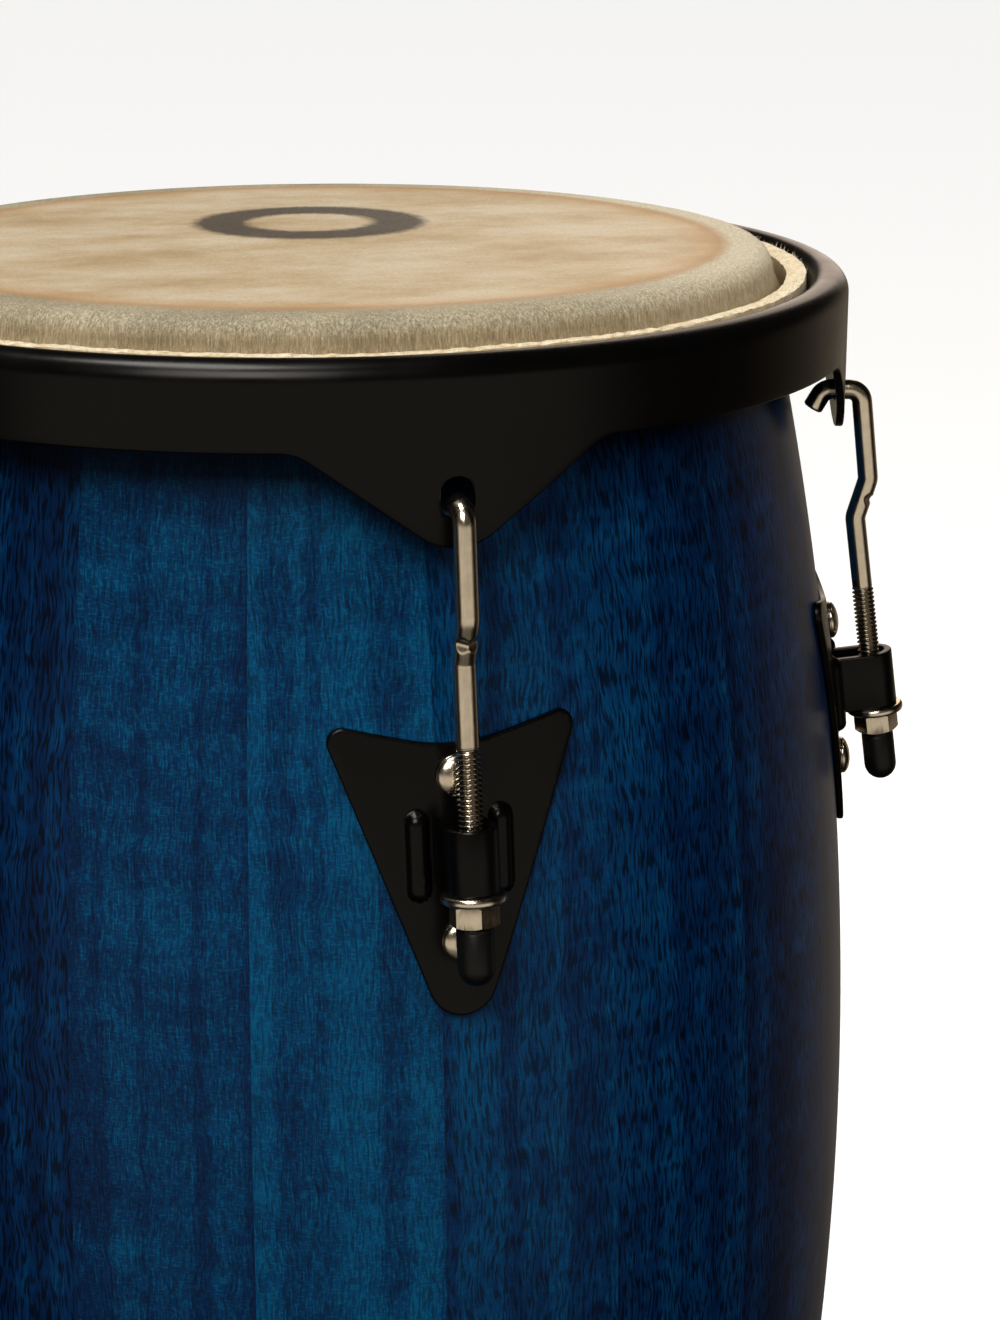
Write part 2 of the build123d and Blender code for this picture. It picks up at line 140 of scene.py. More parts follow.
def tidy_normals(piece, sharp=40):
    shell = bmesh.new()
    shell.from_mesh(piece.data)
    bmesh.ops.recalc_face_normals(shell, faces=shell.faces)
    shell.to_mesh(piece.data)
    shell.free()
    piece.data.shade_smooth()
    piece.data.set_sharp_from_angle(angle=math.radians(sharp))


def copies(piece, name, turns):
    """The same piece at each turn, numbered from 1, in place of the original."""
    made = []
    for number, turn in enumerate(turns, 1):
        mesh = piece.data.copy()
        mesh.transform(turn)
        made.append(placed(f"{name}_{number}", mesh))
    bpy.data.objects.remove(piece)
    return made


def joined(name, pieces):
    """One piece from several, keeping their shading."""
    kept = bmesh.new()
    for piece in pieces:
        kept.from_mesh(piece.data)
    mesh = bpy.data.meshes.new(name)
    kept.to_mesh(mesh)
    kept.free()
    for piece in pieces:
        bpy.data.objects.remove(piece)
    return placed(name, mesh)


def final_mesh(thing):
    """The mesh of an object once its modifiers or curve settings are worked out."""
    graph = bpy.context.evaluated_depsgraph_get()
    return bpy.data.meshes.new_from_object(thing.evaluated_get(graph))


def modify(piece, kind, **values):
    """Gives the piece a modifier and makes it real."""
    modifier = piece.modifiers.new(kind, kind)
    for name, value in values.items():
        setattr(modifier, name, value)
    mesh = final_mesh(piece)
    piece.modifiers.clear()
    piece.data = mesh


def cut(piece, cutter, operation="DIFFERENCE"):
    modify(piece, "BOOLEAN", operation=operation, solver="EXACT", object=cutter)
    bpy.data.objects.remove(cutter)


def arc(centre, radius, start, end, steps):
    """Points of an arc in a (radius, height) section, angles in degrees, both ends included."""
    angles = [math.radians(start + (end - start) * i / steps) for i in range(steps + 1)]
    return [(centre[0] + radius * math.cos(a), centre[1] + radius * math.sin(a)) for a in angles]


def lathe(name, section, steps, wobble=None, sharp=40):
    """Turns a closed section about Z. A point on the axis becomes one vertex."""
    verts, rings = [], []
    for index, (radius, height) in enumerate(section):
        if radius < 1e-9:
            rings.append([len(verts)] * steps)
            verts.append((0, 0, height))
            continue
        rings.append(list(range(len(verts), len(verts) + steps)))
        for step in range(steps):
            angle = 2 * math.pi * step / steps
            r, z = wobble(index, angle, radius, height) if wobble else (radius, height)
            verts.append((r * math.cos(angle), r * math.sin(angle), z))
    faces = []
    for here, there in zip(rings, rings[1:] + rings[:1]):
        if here[0] == here[-1] and there[0] == there[-1]:
            continue
        for step in range(steps):
            after = (step + 1) % steps
            corners = [here[step], here[after], there[after], there[step]]
            faces.append(list(dict.fromkeys(corners)))
    return new_piece(name, verts, faces, sharp)


def tube_faces(rings, around):
    """The sides and flat ends of a tube whose rings of points follow one another."""
    faces = []
    for ring in range(rings - 1):
        low, high = ring * around, (ring + 1) * around
        for side in range(around):
            after = (side + 1) % around
            faces.append((low + side, low + after, high + after, high + side))
    return faces + [tuple(range(around)), tuple(range((rings - 1) * around, rings * around))]


def swept(name, places, size, sides):
    """A round bar through places, each (point, direction), in the XZ plane.
    size(index, angle) gives the distance from the middle; angle 0 points outwards, +X."""
    verts = []
    for index, (point, heading) in enumerate(places):
        outward = Vector((-heading.z, 0, heading.x))
        for side in range(sides):
            angle = 2 * math.pi * side / sides
            spoke = outward * math.cos(angle) + Vector((0, 1, 0)) * math.sin(angle)
            verts.append(point + spoke * size(index, angle))
    return new_piece(name, verts, tube_faces(len(places), sides), sharp=50)


def blank(name, outline, thickness, ease, cuts_x=(), cuts_y=()):
    """A flat plate with eased edges from an outline, standing on Z = 0, divided at the cuts."""
    curve = bpy.data.curves.new(name, "CURVE")
    curve.dimensions = "2D"
    curve.fill_mode = "BOTH"
    spline = curve.splines.new("POLY")
    spline.points.add(len(outline) - 1)
    for point, (x, y) in zip(spline.points, outline):
        point.co = (x, y, 0, 1)
    spline.use_cyclic_u = True
    curve.extrude = thickness / 2 - ease
    curve.bevel_depth = ease
    curve.bevel_resolution = 2
    curve.offset = -ease
    flat = placed(name, curve)
    bpy.context.view_layer.update()
    mesh = final_mesh(flat)
    bpy.data.objects.remove(flat)
    work = bmesh.new()
    work.from_mesh(mesh)
    bmesh.ops.remove_doubles(work, verts=work.verts, dist=1e-6)
    for normal, places in (((1, 0, 0), cuts_x), ((0, 1, 0), cuts_y)):
        for place in places:
            everything = work.verts[:] + work.edges[:] + work.faces[:]
            middle = Vector(normal) * place
            bmesh.ops.bisect_plane(work, geom=everything, plane_co=middle, plane_no=normal)
    for vert in work.verts:
        vert.co.z += thickness / 2
    work.to_mesh(mesh)
    work.free()
    return placed(name, mesh)


def steps_between(start, end, step):
    count = max(1, round((end - start) / step))
    return [start + (end - start) * i / count for i in range(count + 1)]


def rounded(corners, radii, step):
    """A closed outline with its corners rounded."""
    points = []
    count = len(corners)
    for index in range(count):
        here = Vector(corners[index])
        back = (Vector(corners[index - 1]) - here).normalized()
        on = (Vector(corners[(index + 1) % count]) - here).normalized()
        half = back.angle(on) / 2
        reach = radii[index] / math.tan(half)
        centre = here + (back + on).normalized() * (radii[index] / math.sin(half))
        first, last = here + back * reach - centre, here + on * reach - centre
        turn = first.angle_signed(last)
        bits = max(3, int(abs(turn) * radii[index] / step))
        for bit in range(bits + 1):
            spin = Matrix.Rotation(-turn * bit / bits, 2)
            points.append(tuple(centre + spin @ first))
    return points


# ---- material tools ---------------------------------------------------------------------------
def srgb(text):
    """A hex colour as the linear values that shaders take."""
    parts = [int(text[i : i + 2], 16) / 255 for i in (1, 3, 5)]
    linear = [c / 12.92 if c <= 0.04045 else ((c + 0.055) / 1.055) ** 2.4 for c in parts]
    return (*linear, 1)


# the Mix node's sockets and settings where it blends or tints colours
AMOUNT, UNDER, OVER, BLENDED = 0, 6, 7, 2
BLEND = {"data_type": "RGBA"}
TINT = {"data_type": "RGBA", "blend_type": "MULTIPLY"}


def add(tree, kind, inputs=None, out=0, stops=(), per_mm=None, **values):
    """Adds a node and gives one of its outputs. Inputs are links or values, by a socket's name or
    number; values set a socket or a setting by name; stops are a ramp's (place, hex colour or
    grey); per_mm is how often a texture repeats in a millimetre along X, Y and Z."""
    node = tree.nodes.new("ShaderNode" + kind)
    wanted = dict(inputs or {})
    if per_mm:
        scale = tuple(repeats / MM for repeats in per_mm)
        wanted["Vector"] = add(tree, "Mapping", {"Vector": wanted["Vector"], "Scale": scale})
        wanted["Scale"] = 1
    for name, value in values.items():
        label = name.replace("_", " ")
        if label in node.inputs:
            wanted[label] = value
        else:
            setattr(node, name, value)
    for socket, value in wanted.items():
        if isinstance(value, bpy.types.NodeSocket):
            tree.links.new(value, node.inputs[socket])
        else:
            node.inputs[socket].default_value = srgb(value) if isinstance(value, str) else value
    if stops:
        bar = node.color_ramp.elements
        while len(bar) < len(stops):
            bar.new(0.5)
        for element, (place, colour) in zip(bar, stops):
            element.position = place
            is_text = isinstance(colour, str)
            element.color = srgb(colour) if is_text else (colour, colour, colour, 1)
    return node.outputs[out]


def begin(name, **surface):
    """A new material, its nodes and its surface shader, with what is the same all over."""
    material = bpy.data.materials.new(name)
    material.use_nodes = True
    tree = material.node_tree
    shader = tree.nodes["Principled BSDF"]
    for socket, value in surface.items():
        shader.inputs[socket.replace("_", " ")].default_value = value
    return material, tree, shader


def connect(tree, shader, **sources):
    """Joins what varies to the surface shader's sockets."""
    for socket, source in sources.items():
        tree.links.new(source, shader.inputs[socket.replace("_", " ")])


# ---- materials --------------------------------------------------------------------------------
def stained_hardwood():
    """Figured hardwood, turned, dyed blue and sprayed with satin lacquer. The dye is clear, so it
    shows dark pores, ripple across the grain and darker patches; on some staves the figure is
    broken into short bright flecks. The lacquer is smooth, with faint dips over the pores."""
    looks = {"Roughness": 0.32, "IOR": 1.45, "Specular_IOR_Level": 0.12}
    material, tree, shader = begin("blue_dyed_hardwood", **looks)
    grain = add(tree, "Attribute", out="Vector", attribute_name="grain")
    tone = add(tree, "Attribute", out="Fac", attribute_name="tone")
    flecked = add(tree, "Attribute", out="Fac", attribute_name="flecked")
    # the fibres lean to and fro slowly, over 25 mm, and quickly, over 7 mm
    place = grain
    for often, reach in ((0.04, 5 * MM), (0.15, 1.3 * MM)):
        lean = add(tree, "TexNoise", {"Vector": grain}, "Color", per_mm=(often, often, 0), Detail=1)
        lean = add(tree, "VectorMath", {0: lean}, operation="SCALE", Scale=reach)
        place = add(tree, "VectorMath", {0: place, 1: lean}, operation="ADD")
    along_fibres = {"Vector": place}
    patches = add(tree, "TexNoise", along_fibres, per_mm=(0.045, 0.055, 0), Detail=3, Roughness=0.55)
    ribbons = add(tree, "TexNoise", along_fibres, per_mm=(0.1, 0.0015, 0), Detail=1)
    stops = [(0.42, 0.3), (0.49, 0.45), (0.51, 0.6), (0.6, 0.7)]
    ribbons = add(tree, "ValToRGB", {0: ribbons}, stops=stops)
    ripple = add(tree, "TexNoise", along_fibres, per_mm=(0.05, 0.2, 0), Detail=2)
    fibres = add(tree, "TexNoise", along_fibres, per_mm=(2.2, 0.1, 0), Detail=2)
    light = add(tree, "Math", {0: tone, 1: 0.5}, operation="ADD")
    for part, share in ((patches, 0.42), (ribbons, 0.4), (ripple, 0.26), (fibres, 0.55)):
        centred = add(tree, "Math", {0: part, 1: 0.5}, operation="SUBTRACT")
        light = add(tree, "Math", {0: centred, 1: share, 2: light}, operation="MULTIPLY_ADD")
    stops = [(0.15, "#001231"), (0.4, "#01264f"), (0.62, "#033f6a"), (0.85, "#075d84")]
    colour = add(tree, "ValToRGB", {0: light}, stops=stops)
    long_flecks = add(tree, "TexNoise", along_fibres, per_mm=(2.2, 0.42, 0), Detail=1)
    cross_flecks = add(tree, "TexNoise", along_fibres, per_mm=(0.55, 1.8, 0), Detail=1)
    flecks = add(tree, "Math", {0: long_flecks, 1: cross_flecks}, operation="MAXIMUM")
    flecks = add(tree, "ValToRGB", {0: flecks}, stops=[(0.55, 0.0), (0.64, 1.0)])
    fleck_light = add(tree, "ValToRGB", {0: light}, stops=[(0.3, "#022c50"), (0.6, "#045a80")])
    amount = add(tree, "Math", {0: flecks, 1: flecked}, operation="MULTIPLY")
    colour = add(tree, "Mix", {AMOUNT: amount, UNDER: colour, OVER: fleck_light}, BLENDED, **BLEND)
    # pores show less on the flecked staves
    pores = add(tree, "TexNoise", along_fibres, per_mm=(1.35, 0.16, 0), Detail=1)
    shade = add(tree, "ValToRGB", {0: pores}, stops=[(0.42, 0.2), (0.51, 1.0)])
    shade = add(tree, "Mix", {AMOUNT: 1.0, UNDER: colour, OVER: shade}, BLENDED, **TINT)
    amount = add(tree, "Math", {0: flecked, 1: -0.6, 2: 0.95}, operation="MULTIPLY_ADD")
    colour = add(tree, "Mix", {AMOUNT: amount, UNDER: colour, OVER: shade}, BLENDED, **BLEND)
    normal = add(tree, "Bump", {"Height": pores}, Strength=0.2, Distance=0.04 * MM)
    connect(tree, shader, Base_Color=colour, Normal=normal)
    return material


def nickel(name, roughness):
    """Nickel plate on drawn steel: a warm grey metal, polished, with faint draw lines and pits.
    The roots of a thread are drawn darker as painted shade, so that its turns stand apart."""
    material, tree, shader = begin(name, Metallic=1.0)
    place = {"Vector": add(tree, "TexCoord", out="Object")}
    lines = add(tree, "TexNoise", place, per_mm=(2.2, 2.2, 0.12), Detail=2)
    cloud = add(tree, "TexNoise", place, per_mm=(0.25, 0.25, 0.25), Detail=3)
    mix = {AMOUNT: cloud, UNDER: "#b9ae9c", OVER: "#d9d0c0"}
    colour = add(tree, "Mix", mix, BLENDED, **BLEND)
    # painted shade: the thread's roots are darkened towards dark brown, where shade falls in the grooves
    groove = add(tree, "Attribute", out="Fac", attribute_name="groove")
    amount = add(tree, "Math", {0: groove, 1: 0.6}, operation="MULTIPLY")
    colour = add(tree, "Mix", {AMOUNT: amount, UNDER: colour, OVER: "#16120e"}, BLENDED, **BLEND)
    stops = [(0.3, roughness - 0.05), (0.7, roughness + 0.08)]
    rough = add(tree, "ValToRGB", {0: lines}, stops=stops)
    normal = add(tree, "Bump", {"Height": lines}, Strength=0.3, Distance=0.02 * MM)
    connect(tree, shader, Base_Color=colour, Roughness=rough, Normal=normal)
    return material


def coating(name, cloud, colours, grain, relief, rough=(), **surface):
    """An even surface: two close colours in a soft cloud, under a fine grain in relief. cloud and
    grain are each (repeats in a millimetre, detail); relief is (strength, height); rough is a
    ramp of the roughness over the cloud, where it isn't the same all over."""
    material, tree, shader = begin(name, **surface)
    place = {"Vector": add(tree, "TexCoord", out="Object")}
    clouds, grit = [
        add(tree, "TexNoise", place, per_mm=(often, often, often), Detail=detail)
        for often, detail in (cloud, grain)
    ]
    mix = {AMOUNT: clouds, UNDER: colours[0], OVER: colours[1]}
    colour = add(tree, "Mix", mix, BLENDED, **BLEND)
    if rough:
        connect(tree, shader, Roughness=add(tree, "ValToRGB", {0: clouds}, stops=rough))
    normal = add(tree, "Bump", {"Height": grit}, Strength=relief[0], Distance=relief[1])
    connect(tree, shader, Base_Color=colour, Normal=normal)
    return material


MARK_CENTRE = (6.7 * MM, 34.4 * MM)


def rawhide():
    """Rawhide: limed skin, scraped by hand and dried tight. Warm tan and cloudy where it is
    scraped, with hair roots; a band left with grey clipped hair, paler on one side as painted light;
    horn-like and darker where it is wet-formed, partly as painted shade.
    Places along a radius, in metres from the head's middle, set where one becomes the next."""
    looks = {"Roughness": 0.55, "IOR": 1.45, "Subsurface_Weight": 0.12}
    looks |= {"Subsurface_Radius": (1.0, 0.55, 0.3), "Subsurface_Scale": 2 * MM}
    material, tree, shader = begin("scraped_rawhide", **looks)
    place = add(tree, "TexCoord", out="Object")
    flat = add(tree, "VectorMath", {0: place, 1: (1, 1, 0)}, operation="MULTIPLY")
    radius = add(tree, "VectorMath", {0: flat}, "Value", operation="LENGTH")
    here = {"Vector": place}
    ragged = add(tree, "TexNoise", here, per_mm=(0.5, 0.5, 0.5), Detail=4, Roughness=0.7)
    cloud = add(tree, "TexNoise", here, per_mm=(0.022, 0.032, 0.02), Detail=6, Roughness=0.68)
    speck = add(tree, "TexNoise", here, per_mm=(0.9, 0.9, 0.9), Detail=4, Roughness=0.8)
    stops = [(0.33, "#9a8360"), (0.48, "#aa9778"), (0.62, "#b6a88f")]
    tan = add(tree, "ValToRGB", {0: cloud}, stops=stops)
    shade = add(tree, "ValToRGB", {0: speck}, stops=[(0.3, 0.72), (0.7, 1.2)])
    tan = add(tree, "Mix", {AMOUNT: 0.8, UNDER: tan, OVER: shade}, BLENDED, **TINT)
    # the scraped part is a little redder where it meets the hair
    edge = add(tree, "Math", {0: ragged, 1: 4 * MM, 2: radius}, operation="MULTIPLY_ADD")
    warm = add(tree, "ValToRGB", {0: edge}, stops=[(0.106, 0.0), (0.1165, 0.5)])
    tan = add(tree, "Mix", {AMOUNT: warm, UNDER: tan, OVER: "#a3753f"}, BLENDED, **BLEND)
    # hairs point outwards, so their pattern is a little longer that way
    outwards = add(tree, "VectorMath", {0: flat}, operation="NORMALIZE")
    ring = add(tree, "VectorMath", {0: outwards}, operation="SCALE", Scale=HEAD_RADIUS)
    along = add(tree, "CombineXYZ", {2: radius})
    spoke = {"Vector": add(tree, "VectorMath", {0: ring, 1: along}, operation="ADD")}
    hair = add(tree, "TexNoise", spoke, per_mm=(1.7, 1.7, 1.3), Detail=5, Roughness=0.85)
    stops = [(0.33, "#635c47"), (0.48, "#8b8268"), (0.66, "#c2b89f")]
    band = add(tree, "ValToRGB", {0: hair}, stops=stops)
    stain = add(tree, "ValToRGB", {0: cloud}, stops=[(0.38, 0.78), (0.6, 1.1)])
    band = add(tree, "Mix", {AMOUNT: 1.0, UNDER: band, OVER: stain}, BLENDED, **TINT)
    # painted light: the clipped hair is drawn paler towards one side, +X, as the lit side
    side = add(tree, "SeparateXYZ", {0: place})
    painted_light_side = add(tree, "ValToRGB", {0: side}, stops=[(0.03, 0.0), (0.11, 0.8)])
    stops = [(0.33, "#857b62"), (0.48, "#bcb095"), (0.66, "#efe7d4")]
    lit_side_hair = add(tree, "ValToRGB", {0: hair}, stops=stops)
    band = add(tree, "Mix", {AMOUNT: painted_light_side, UNDER: band, OVER: lit_side_hair}, BLENDED, **BLEND)
    into_hair = add(tree, "ValToRGB", {0: edge}, stops=[(0.1172, 0.0), (0.1186, 1.0)])
    colour = add(tree, "Mix", {AMOUNT: into_hair, UNDER: tan, OVER: band}, BLENDED, **BLEND)
    # brown hair roots where scraping stopped, and a darker tan down the collar: partly the horn-like
    # skin, partly painted shade on its side
    stops = [(0.1162, 0.0), (0.1178, 0.6), (0.1194, 0.0)]
    roots = add(tree, "ValToRGB", {0: edge}, stops=stops)
    collar_horn_and_shade = add(tree, "ValToRGB", {0: radius}, stops=[(0.1299, 0.0), (0.1306, 1.0)])
    for amount, over in ((roots, "#7d6340"), (collar_horn_and_shade, "#93794b")):
        colour = add(tree, "Mix", {AMOUNT: amount, UNDER: colour, OVER: over}, BLENDED, **BLEND)
    # a plain ring in worn grey ink
    offset = add(tree, "VectorMath", {0: flat, 1: (*MARK_CENTRE, 0)}, operation="SUBTRACT")
    to_mark = add(tree, "VectorMath", {0: offset}, "Value", operation="LENGTH")
    reach = add(tree, "Math", {0: ragged, 1: 6 * MM, 2: to_mark}, operation="MULTIPLY_ADD")
    stops = [(0.0203, 0.0), (0.0211, 1.0), (0.0352, 1.0), (0.0362, 0.0)]
    ink = add(tree, "ValToRGB", {0: reach}, stops=stops)
    stops = [(0.0236, 1.0), (0.0242, 0.3), (0.0248, 1.0)]
    thin_line = add(tree, "ValToRGB", {0: to_mark}, stops=stops)
    worn = add(tree, "ValToRGB", {0: speck}, stops=[(0.3, 0.7), (0.55, 1.0)])
    for wear in (thin_line, worn):
        ink = add(tree, "Mix", {AMOUNT: 1.0, UNDER: ink, OVER: wear}, BLENDED, **TINT)
    amount = add(tree, "Math", {0: ink, 1: 0.95}, operation="MULTIPLY")
    colour = add(tree, "Mix", {AMOUNT: amount, UNDER: colour, OVER: "#2b2725"}, BLENDED, **BLEND)
    grit = add(tree, "Math", {0: speck, 1: 0.25}, operation="MULTIPLY")
    height = add(tree, "Math", {0: hair, 1: into_hair, 2: grit}, operation="MULTIPLY_ADD")
    normal = add(tree, "Bump", {"Height": height}, Strength=0.8, Distance=0.45 * MM)
    connect(tree, shader, Base_Color=colour, Normal=normal)
    return material


def cut_hide():
    """The thick cut end of the same hide, seen in section: cream, fibrous and a little glassy."""
    looks = {"Roughness": 0.5, "IOR": 1.45, "Subsurface_Weight": 0.3}
    looks |= {"Subsurface_Radius": (1.0, 0.7, 0.4), "Subsurface_Scale": 2 * MM}
    material, tree, shader = begin("cut_rawhide_edge", **looks)
    place = {"Vector": add(tree, "TexCoord", out="Object")}
    fibre = add(tree, "TexNoise", place, per_mm=(0.5, 0.5, 0.9), Detail=5, Roughness=0.7)
    cloud = add(tree, "TexNoise", place, per_mm=(0.06, 0.06, 0.06), Detail=2)
    stops = [(0.3, "#a8966f"), (0.5, "#d1c5a8"), (0.7, "#e6dfcd")]
    colour = add(tree, "ValToRGB", {0: fibre}, stops=stops)
    amount = add(tree, "Math", {0: cloud, 1: 0.4}, operation="MULTIPLY")
    colour = add(tree, "Mix", {AMOUNT: amount, UNDER: colour, OVER: "#b0966a"}, BLENDED, **BLEND)
    normal = add(tree, "Bump", {"Height": fibre}, Strength=0.7, Distance=0.3 * MM)
    connect(tree, shader, Base_Color=colour, Normal=normal)
    return material


WOOD = stained_hardwood()
# satin black powder coat on steel: baked polyester, with a fine orange peel and soft sheen
baked = {"rough": [(0.3, 0.24), (0.7, 0.31)], "IOR": 1.45, "Specular_IOR_Level": 0.17}
black = ("#020202", "#060505")
COAT = coating("black_powder_coat", (0.05, 3), black, (1.3, 2), (0.35, 0.012 * MM), **baked)
NICKEL = nickel("nickel_plate", 0.17)
WARM_NICKEL = nickel("nickel_plate_nut", 0.22)
# bright zinc plate on rolled steel: cooler and duller than the nickel
plated = {"Metallic": 1.0, "Roughness": 0.38}
greys = ("#8d9095", "#b4b7ba")
ZINC = coating("zinc_plate", (0.4, 4), greys, (0.4, 4), (0.3, 0.02 * MM), **plated)
# black rubber from a spark-finished mould: an even, dull surface with a fine grain
moulded = {"cloud": (0.15, 2), "grain": (2.5, 2), "relief": (0.4, 0.02 * MM)}
moulded |= {"IOR": 1.5, "Specular_IOR_Level": 0.2}
CAP_RUBBER = coating("cap_rubber", colours=("#050505", "#0e0d0d"), Roughness=0.38, **moulded)
FOOT_RUBBER = coating("foot_rubber", colours=("#101010", "#0e0d0d"), Roughness=0.6, **moulded)
HIDE = rawhide()
HIDE_EDGE = cut_hide()


def dress(piece, material):
    piece.data.materials.clear()
    piece.data.materials.append(material)


def settle(piece, material, body, node):
    """Dresses a piece and puts it on its body, in place of its CAD node."""
    dress(piece, material)
    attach(piece, body)
    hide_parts(node)


def at_lugs(piece, name, material, body, node):
    """A copy of the piece at every lug. Braces in body and node stand for the lug's number."""
    for number, twin in enumerate(copies(piece, name, LUG_TURNS), 1):
        settle(twin, material, body.format(number), node.format(number))


# ---- shell ------------------------------------------------------------------------------------
# how light each stave takes the dye, and how much of its figure is broken into flecks, going
# round from the one beside lug 1
STAVE_TONES = [-0.06, -0.1, -0.2, -0.18, 0.02, -0.08, 0.06, -0.14, 0.03, -0.05]
STAVE_TONES += [-0.2, 0.04, -0.02, -0.12, 0.08, -0.06, 0.02, -0.15, -0.12, 0.02]
STAVE_FLECKS = [0.3, 0.0, 0.1, 0.0, 0.6, 0.9, 0.2, 0.0, 0.8, 0.1]
STAVE_FLECKS += [0.0, 0.5, 0.9, 0.2, 0.0, 0.7, 0.1, 0.0, 0.9, 0.8]


def stave_section():
    """Outer and inner side of the wall as rows of (radius, height), from the foot to the top."""
    edge_round, ease = 4 * MM, 2 * MM
    outer_top = BEARING_EDGE - edge_round
    outer = [(shell_radius(z), z) for z in steps_between(WOOD_FOOT, outer_top, 8 * MM)]
    centre = (outer[-1][0] - edge_round, outer_top)
    outer += arc(centre, edge_round, 0, 90, 6)[1:]
    inner_top = BEARING_EDGE - ease
    heights = steps_between(WOOD_FOOT, inner_top, 8 * MM)
    inner = [(shell_radius(z, -WALL), z) for z in heights]
    inner += arc((inner[-1][0] + ease, inner_top), ease, 180, 90, len(outer) - len(inner))[1:]
    return outer, inner


def make_stave(number):
    """One stave: turned round outside, flat across inside, with the way of its grain stored."""
    outer, inner = stave_section()
    columns = 16
    across_step, up_step = 0.31, 0.173  # metres from one stave's figure to the next stave's
    half = math.pi / STAVES
    inset = math.cos(half / 9)
    middle = math.radians(FIRST_JOINT - 90) + half * (2 * number + 1)
    verts, grain = [], []
    for column in range(columns + 1):
        angle = half * (2 * column / columns - 1)
        turn = middle + angle
        for side, rows in enumerate((outer, inner)):
            for radius, height in rows:
                reach = radius / math.cos(angle) * inset if side else radius
                verts.append((reach * math.cos(turn), reach * math.sin(turn), height))
                across, up = radius * angle + number * across_step, height + number * up_step
                grain.append((across, up, side * 0.05))
    rows, wide = len(outer), 2 * len(outer)
    faces = []
    for column in range(columns):
        here, there = column * wide, (column + 1) * wide
        for row in range(rows - 1):
            a, b = here + row, there + row
            faces.append((a, b, b + 1, a + 1))
            faces.append((a + rows, a + rows + 1, b + rows + 1, b + rows))
        for row in (0, rows - 1):
            a, b = here + row, there + row
            faces.append((a, a + rows, b + rows, b))
    for start in (0, columns * wide):
        for row in range(rows - 1):
            a = start + row
            faces.append((a, a + 1, a + 1 + rows, a + rows))
    name = f"stave_{number + 1:02d}"
    piece = new_piece(name + "_wood", verts, faces)
    along = piece.data.attributes.new("grain", "FLOAT_VECTOR", "POINT")
    along.data.foreach_set("vector", [value for point in grain for value in point])
    for kind, values in (("tone", STAVE_TONES), ("flecked", STAVE_FLECKS)):
        same = piece.data.attributes.new(kind, "FLOAT", "POINT")
        same.data.foreach_set("value", [values[number]] * len(verts))
    settle(piece, WOOD, "shell", name)


def make_foot_ring():
    """Moulded ring under the staves, with a bead round its upper edge."""
    wall, lip, seat = 3 * MM, 16 * MM, WOOD_FOOT
    fit = 0.1 * MM
    inside = shell_radius(seat, -WALL) - 0.6 * MM
    low_out = shell_radius(seat) + wall
    high_out = shell_radius(lip) + wall
    section = arc((inside + 0.8 * MM, 0.8 * MM), 0.8 * MM, 180, 270, 4)
    section += arc((low_out - 1.6 * MM, 1.6 * MM), 1.6 * MM, -90, 0, 6)
    section += [(high_out - 0.5 * MM, lip - 4 * MM)]
    section += arc((high_out - 1.4 * MM, lip - 1.4 * MM), 1.35 * MM, -20, 90, 7)
    section += [(shell_radius(lip) + fit, lip), (shell_radius(seat) + fit, seat), (inside, seat)]
    ring = lathe("foot_ring", section, 240, sharp=50)
    settle(ring, FOOT_RUBBER, "shell", "base_ring")


# ---- rim --------------------------------------------------------------------------------------
RIM_SHEET = 2.3 * MM
ROLL = 5.55 * MM
EAR_HALF_WIDTH = 38.4 * MM
EAR_POINT = 28.0 * MM
HOLE = (8.3 * MM, -6.8 * MM, -17.0 * MM)  # width, top and bottom from the rim's lower edge


def ear_depth(across):
    """How far the rim's lower edge hangs down, at a distance across from the ear's middle."""
    slope = EAR_POINT / EAR_HALF_WIDTH
    lean = math.atan(slope)
    across = abs(across)
    straight = EAR_POINT - slope * across
    tip, root = 15.5 * MM, 12 * MM
    tip_end = tip * math.sin(lean)
    if across < tip_end:
        centre = EAR_POINT - tip / math.cos(lean)
        return centre + math.sqrt(tip**2 - across**2)
    root_reach = root * math.tan(lean / 2)
    root_end = EAR_HALF_WIDTH + root_reach
    if across > root_end:
        return 0.0
    if across > EAR_HALF_WIDTH - root_reach * math.cos(lean):
        return root - math.sqrt(root**2 - (root_end - across) ** 2)
    return straight


def rim_section(bottom):
    """The sheet's section above a lower edge: wall, rolled top, lip and back, as a closed loop."""
    outer, inner = RIM_RADIUS, RIM_RADIUS - RIM_SHEET
    middle = RIM_RADIUS - ROLL
    roll_height = RIM_TOP - ROLL
    ease = 0.55 * MM
    lip = RIM_EDGE + 14 * MM
    loop = arc((outer - ease, bottom + ease), ease, -90, 0, 4)
    wall = steps_between(bottom + ease, roll_height, (roll_height - bottom) / 12)
    loop += [(outer, z) for z in wall[1:-1]]
    loop += arc((middle, roll_height), ROLL, 0, 180, 26)
    loop += [(middle - ROLL, roll_height + (lip - roll_height) * i / 2) for i in (1, 2)]
    loop += arc((middle - ROLL + RIM_SHEET / 2, lip), RIM_SHEET / 2, 180, 360, 8)[1:]
    loop += [(middle - ROLL + RIM_SHEET, lip + (roll_height - lip) / 2)]
    loop += arc((middle, roll_height), ROLL - RIM_SHEET, 180, 0, 14)
    loop += [(inner, z) for z in wall[-2:0:-1]]
    loop += arc((inner + ease, bottom + ease), ease, 180, 270, 4)
    return loop


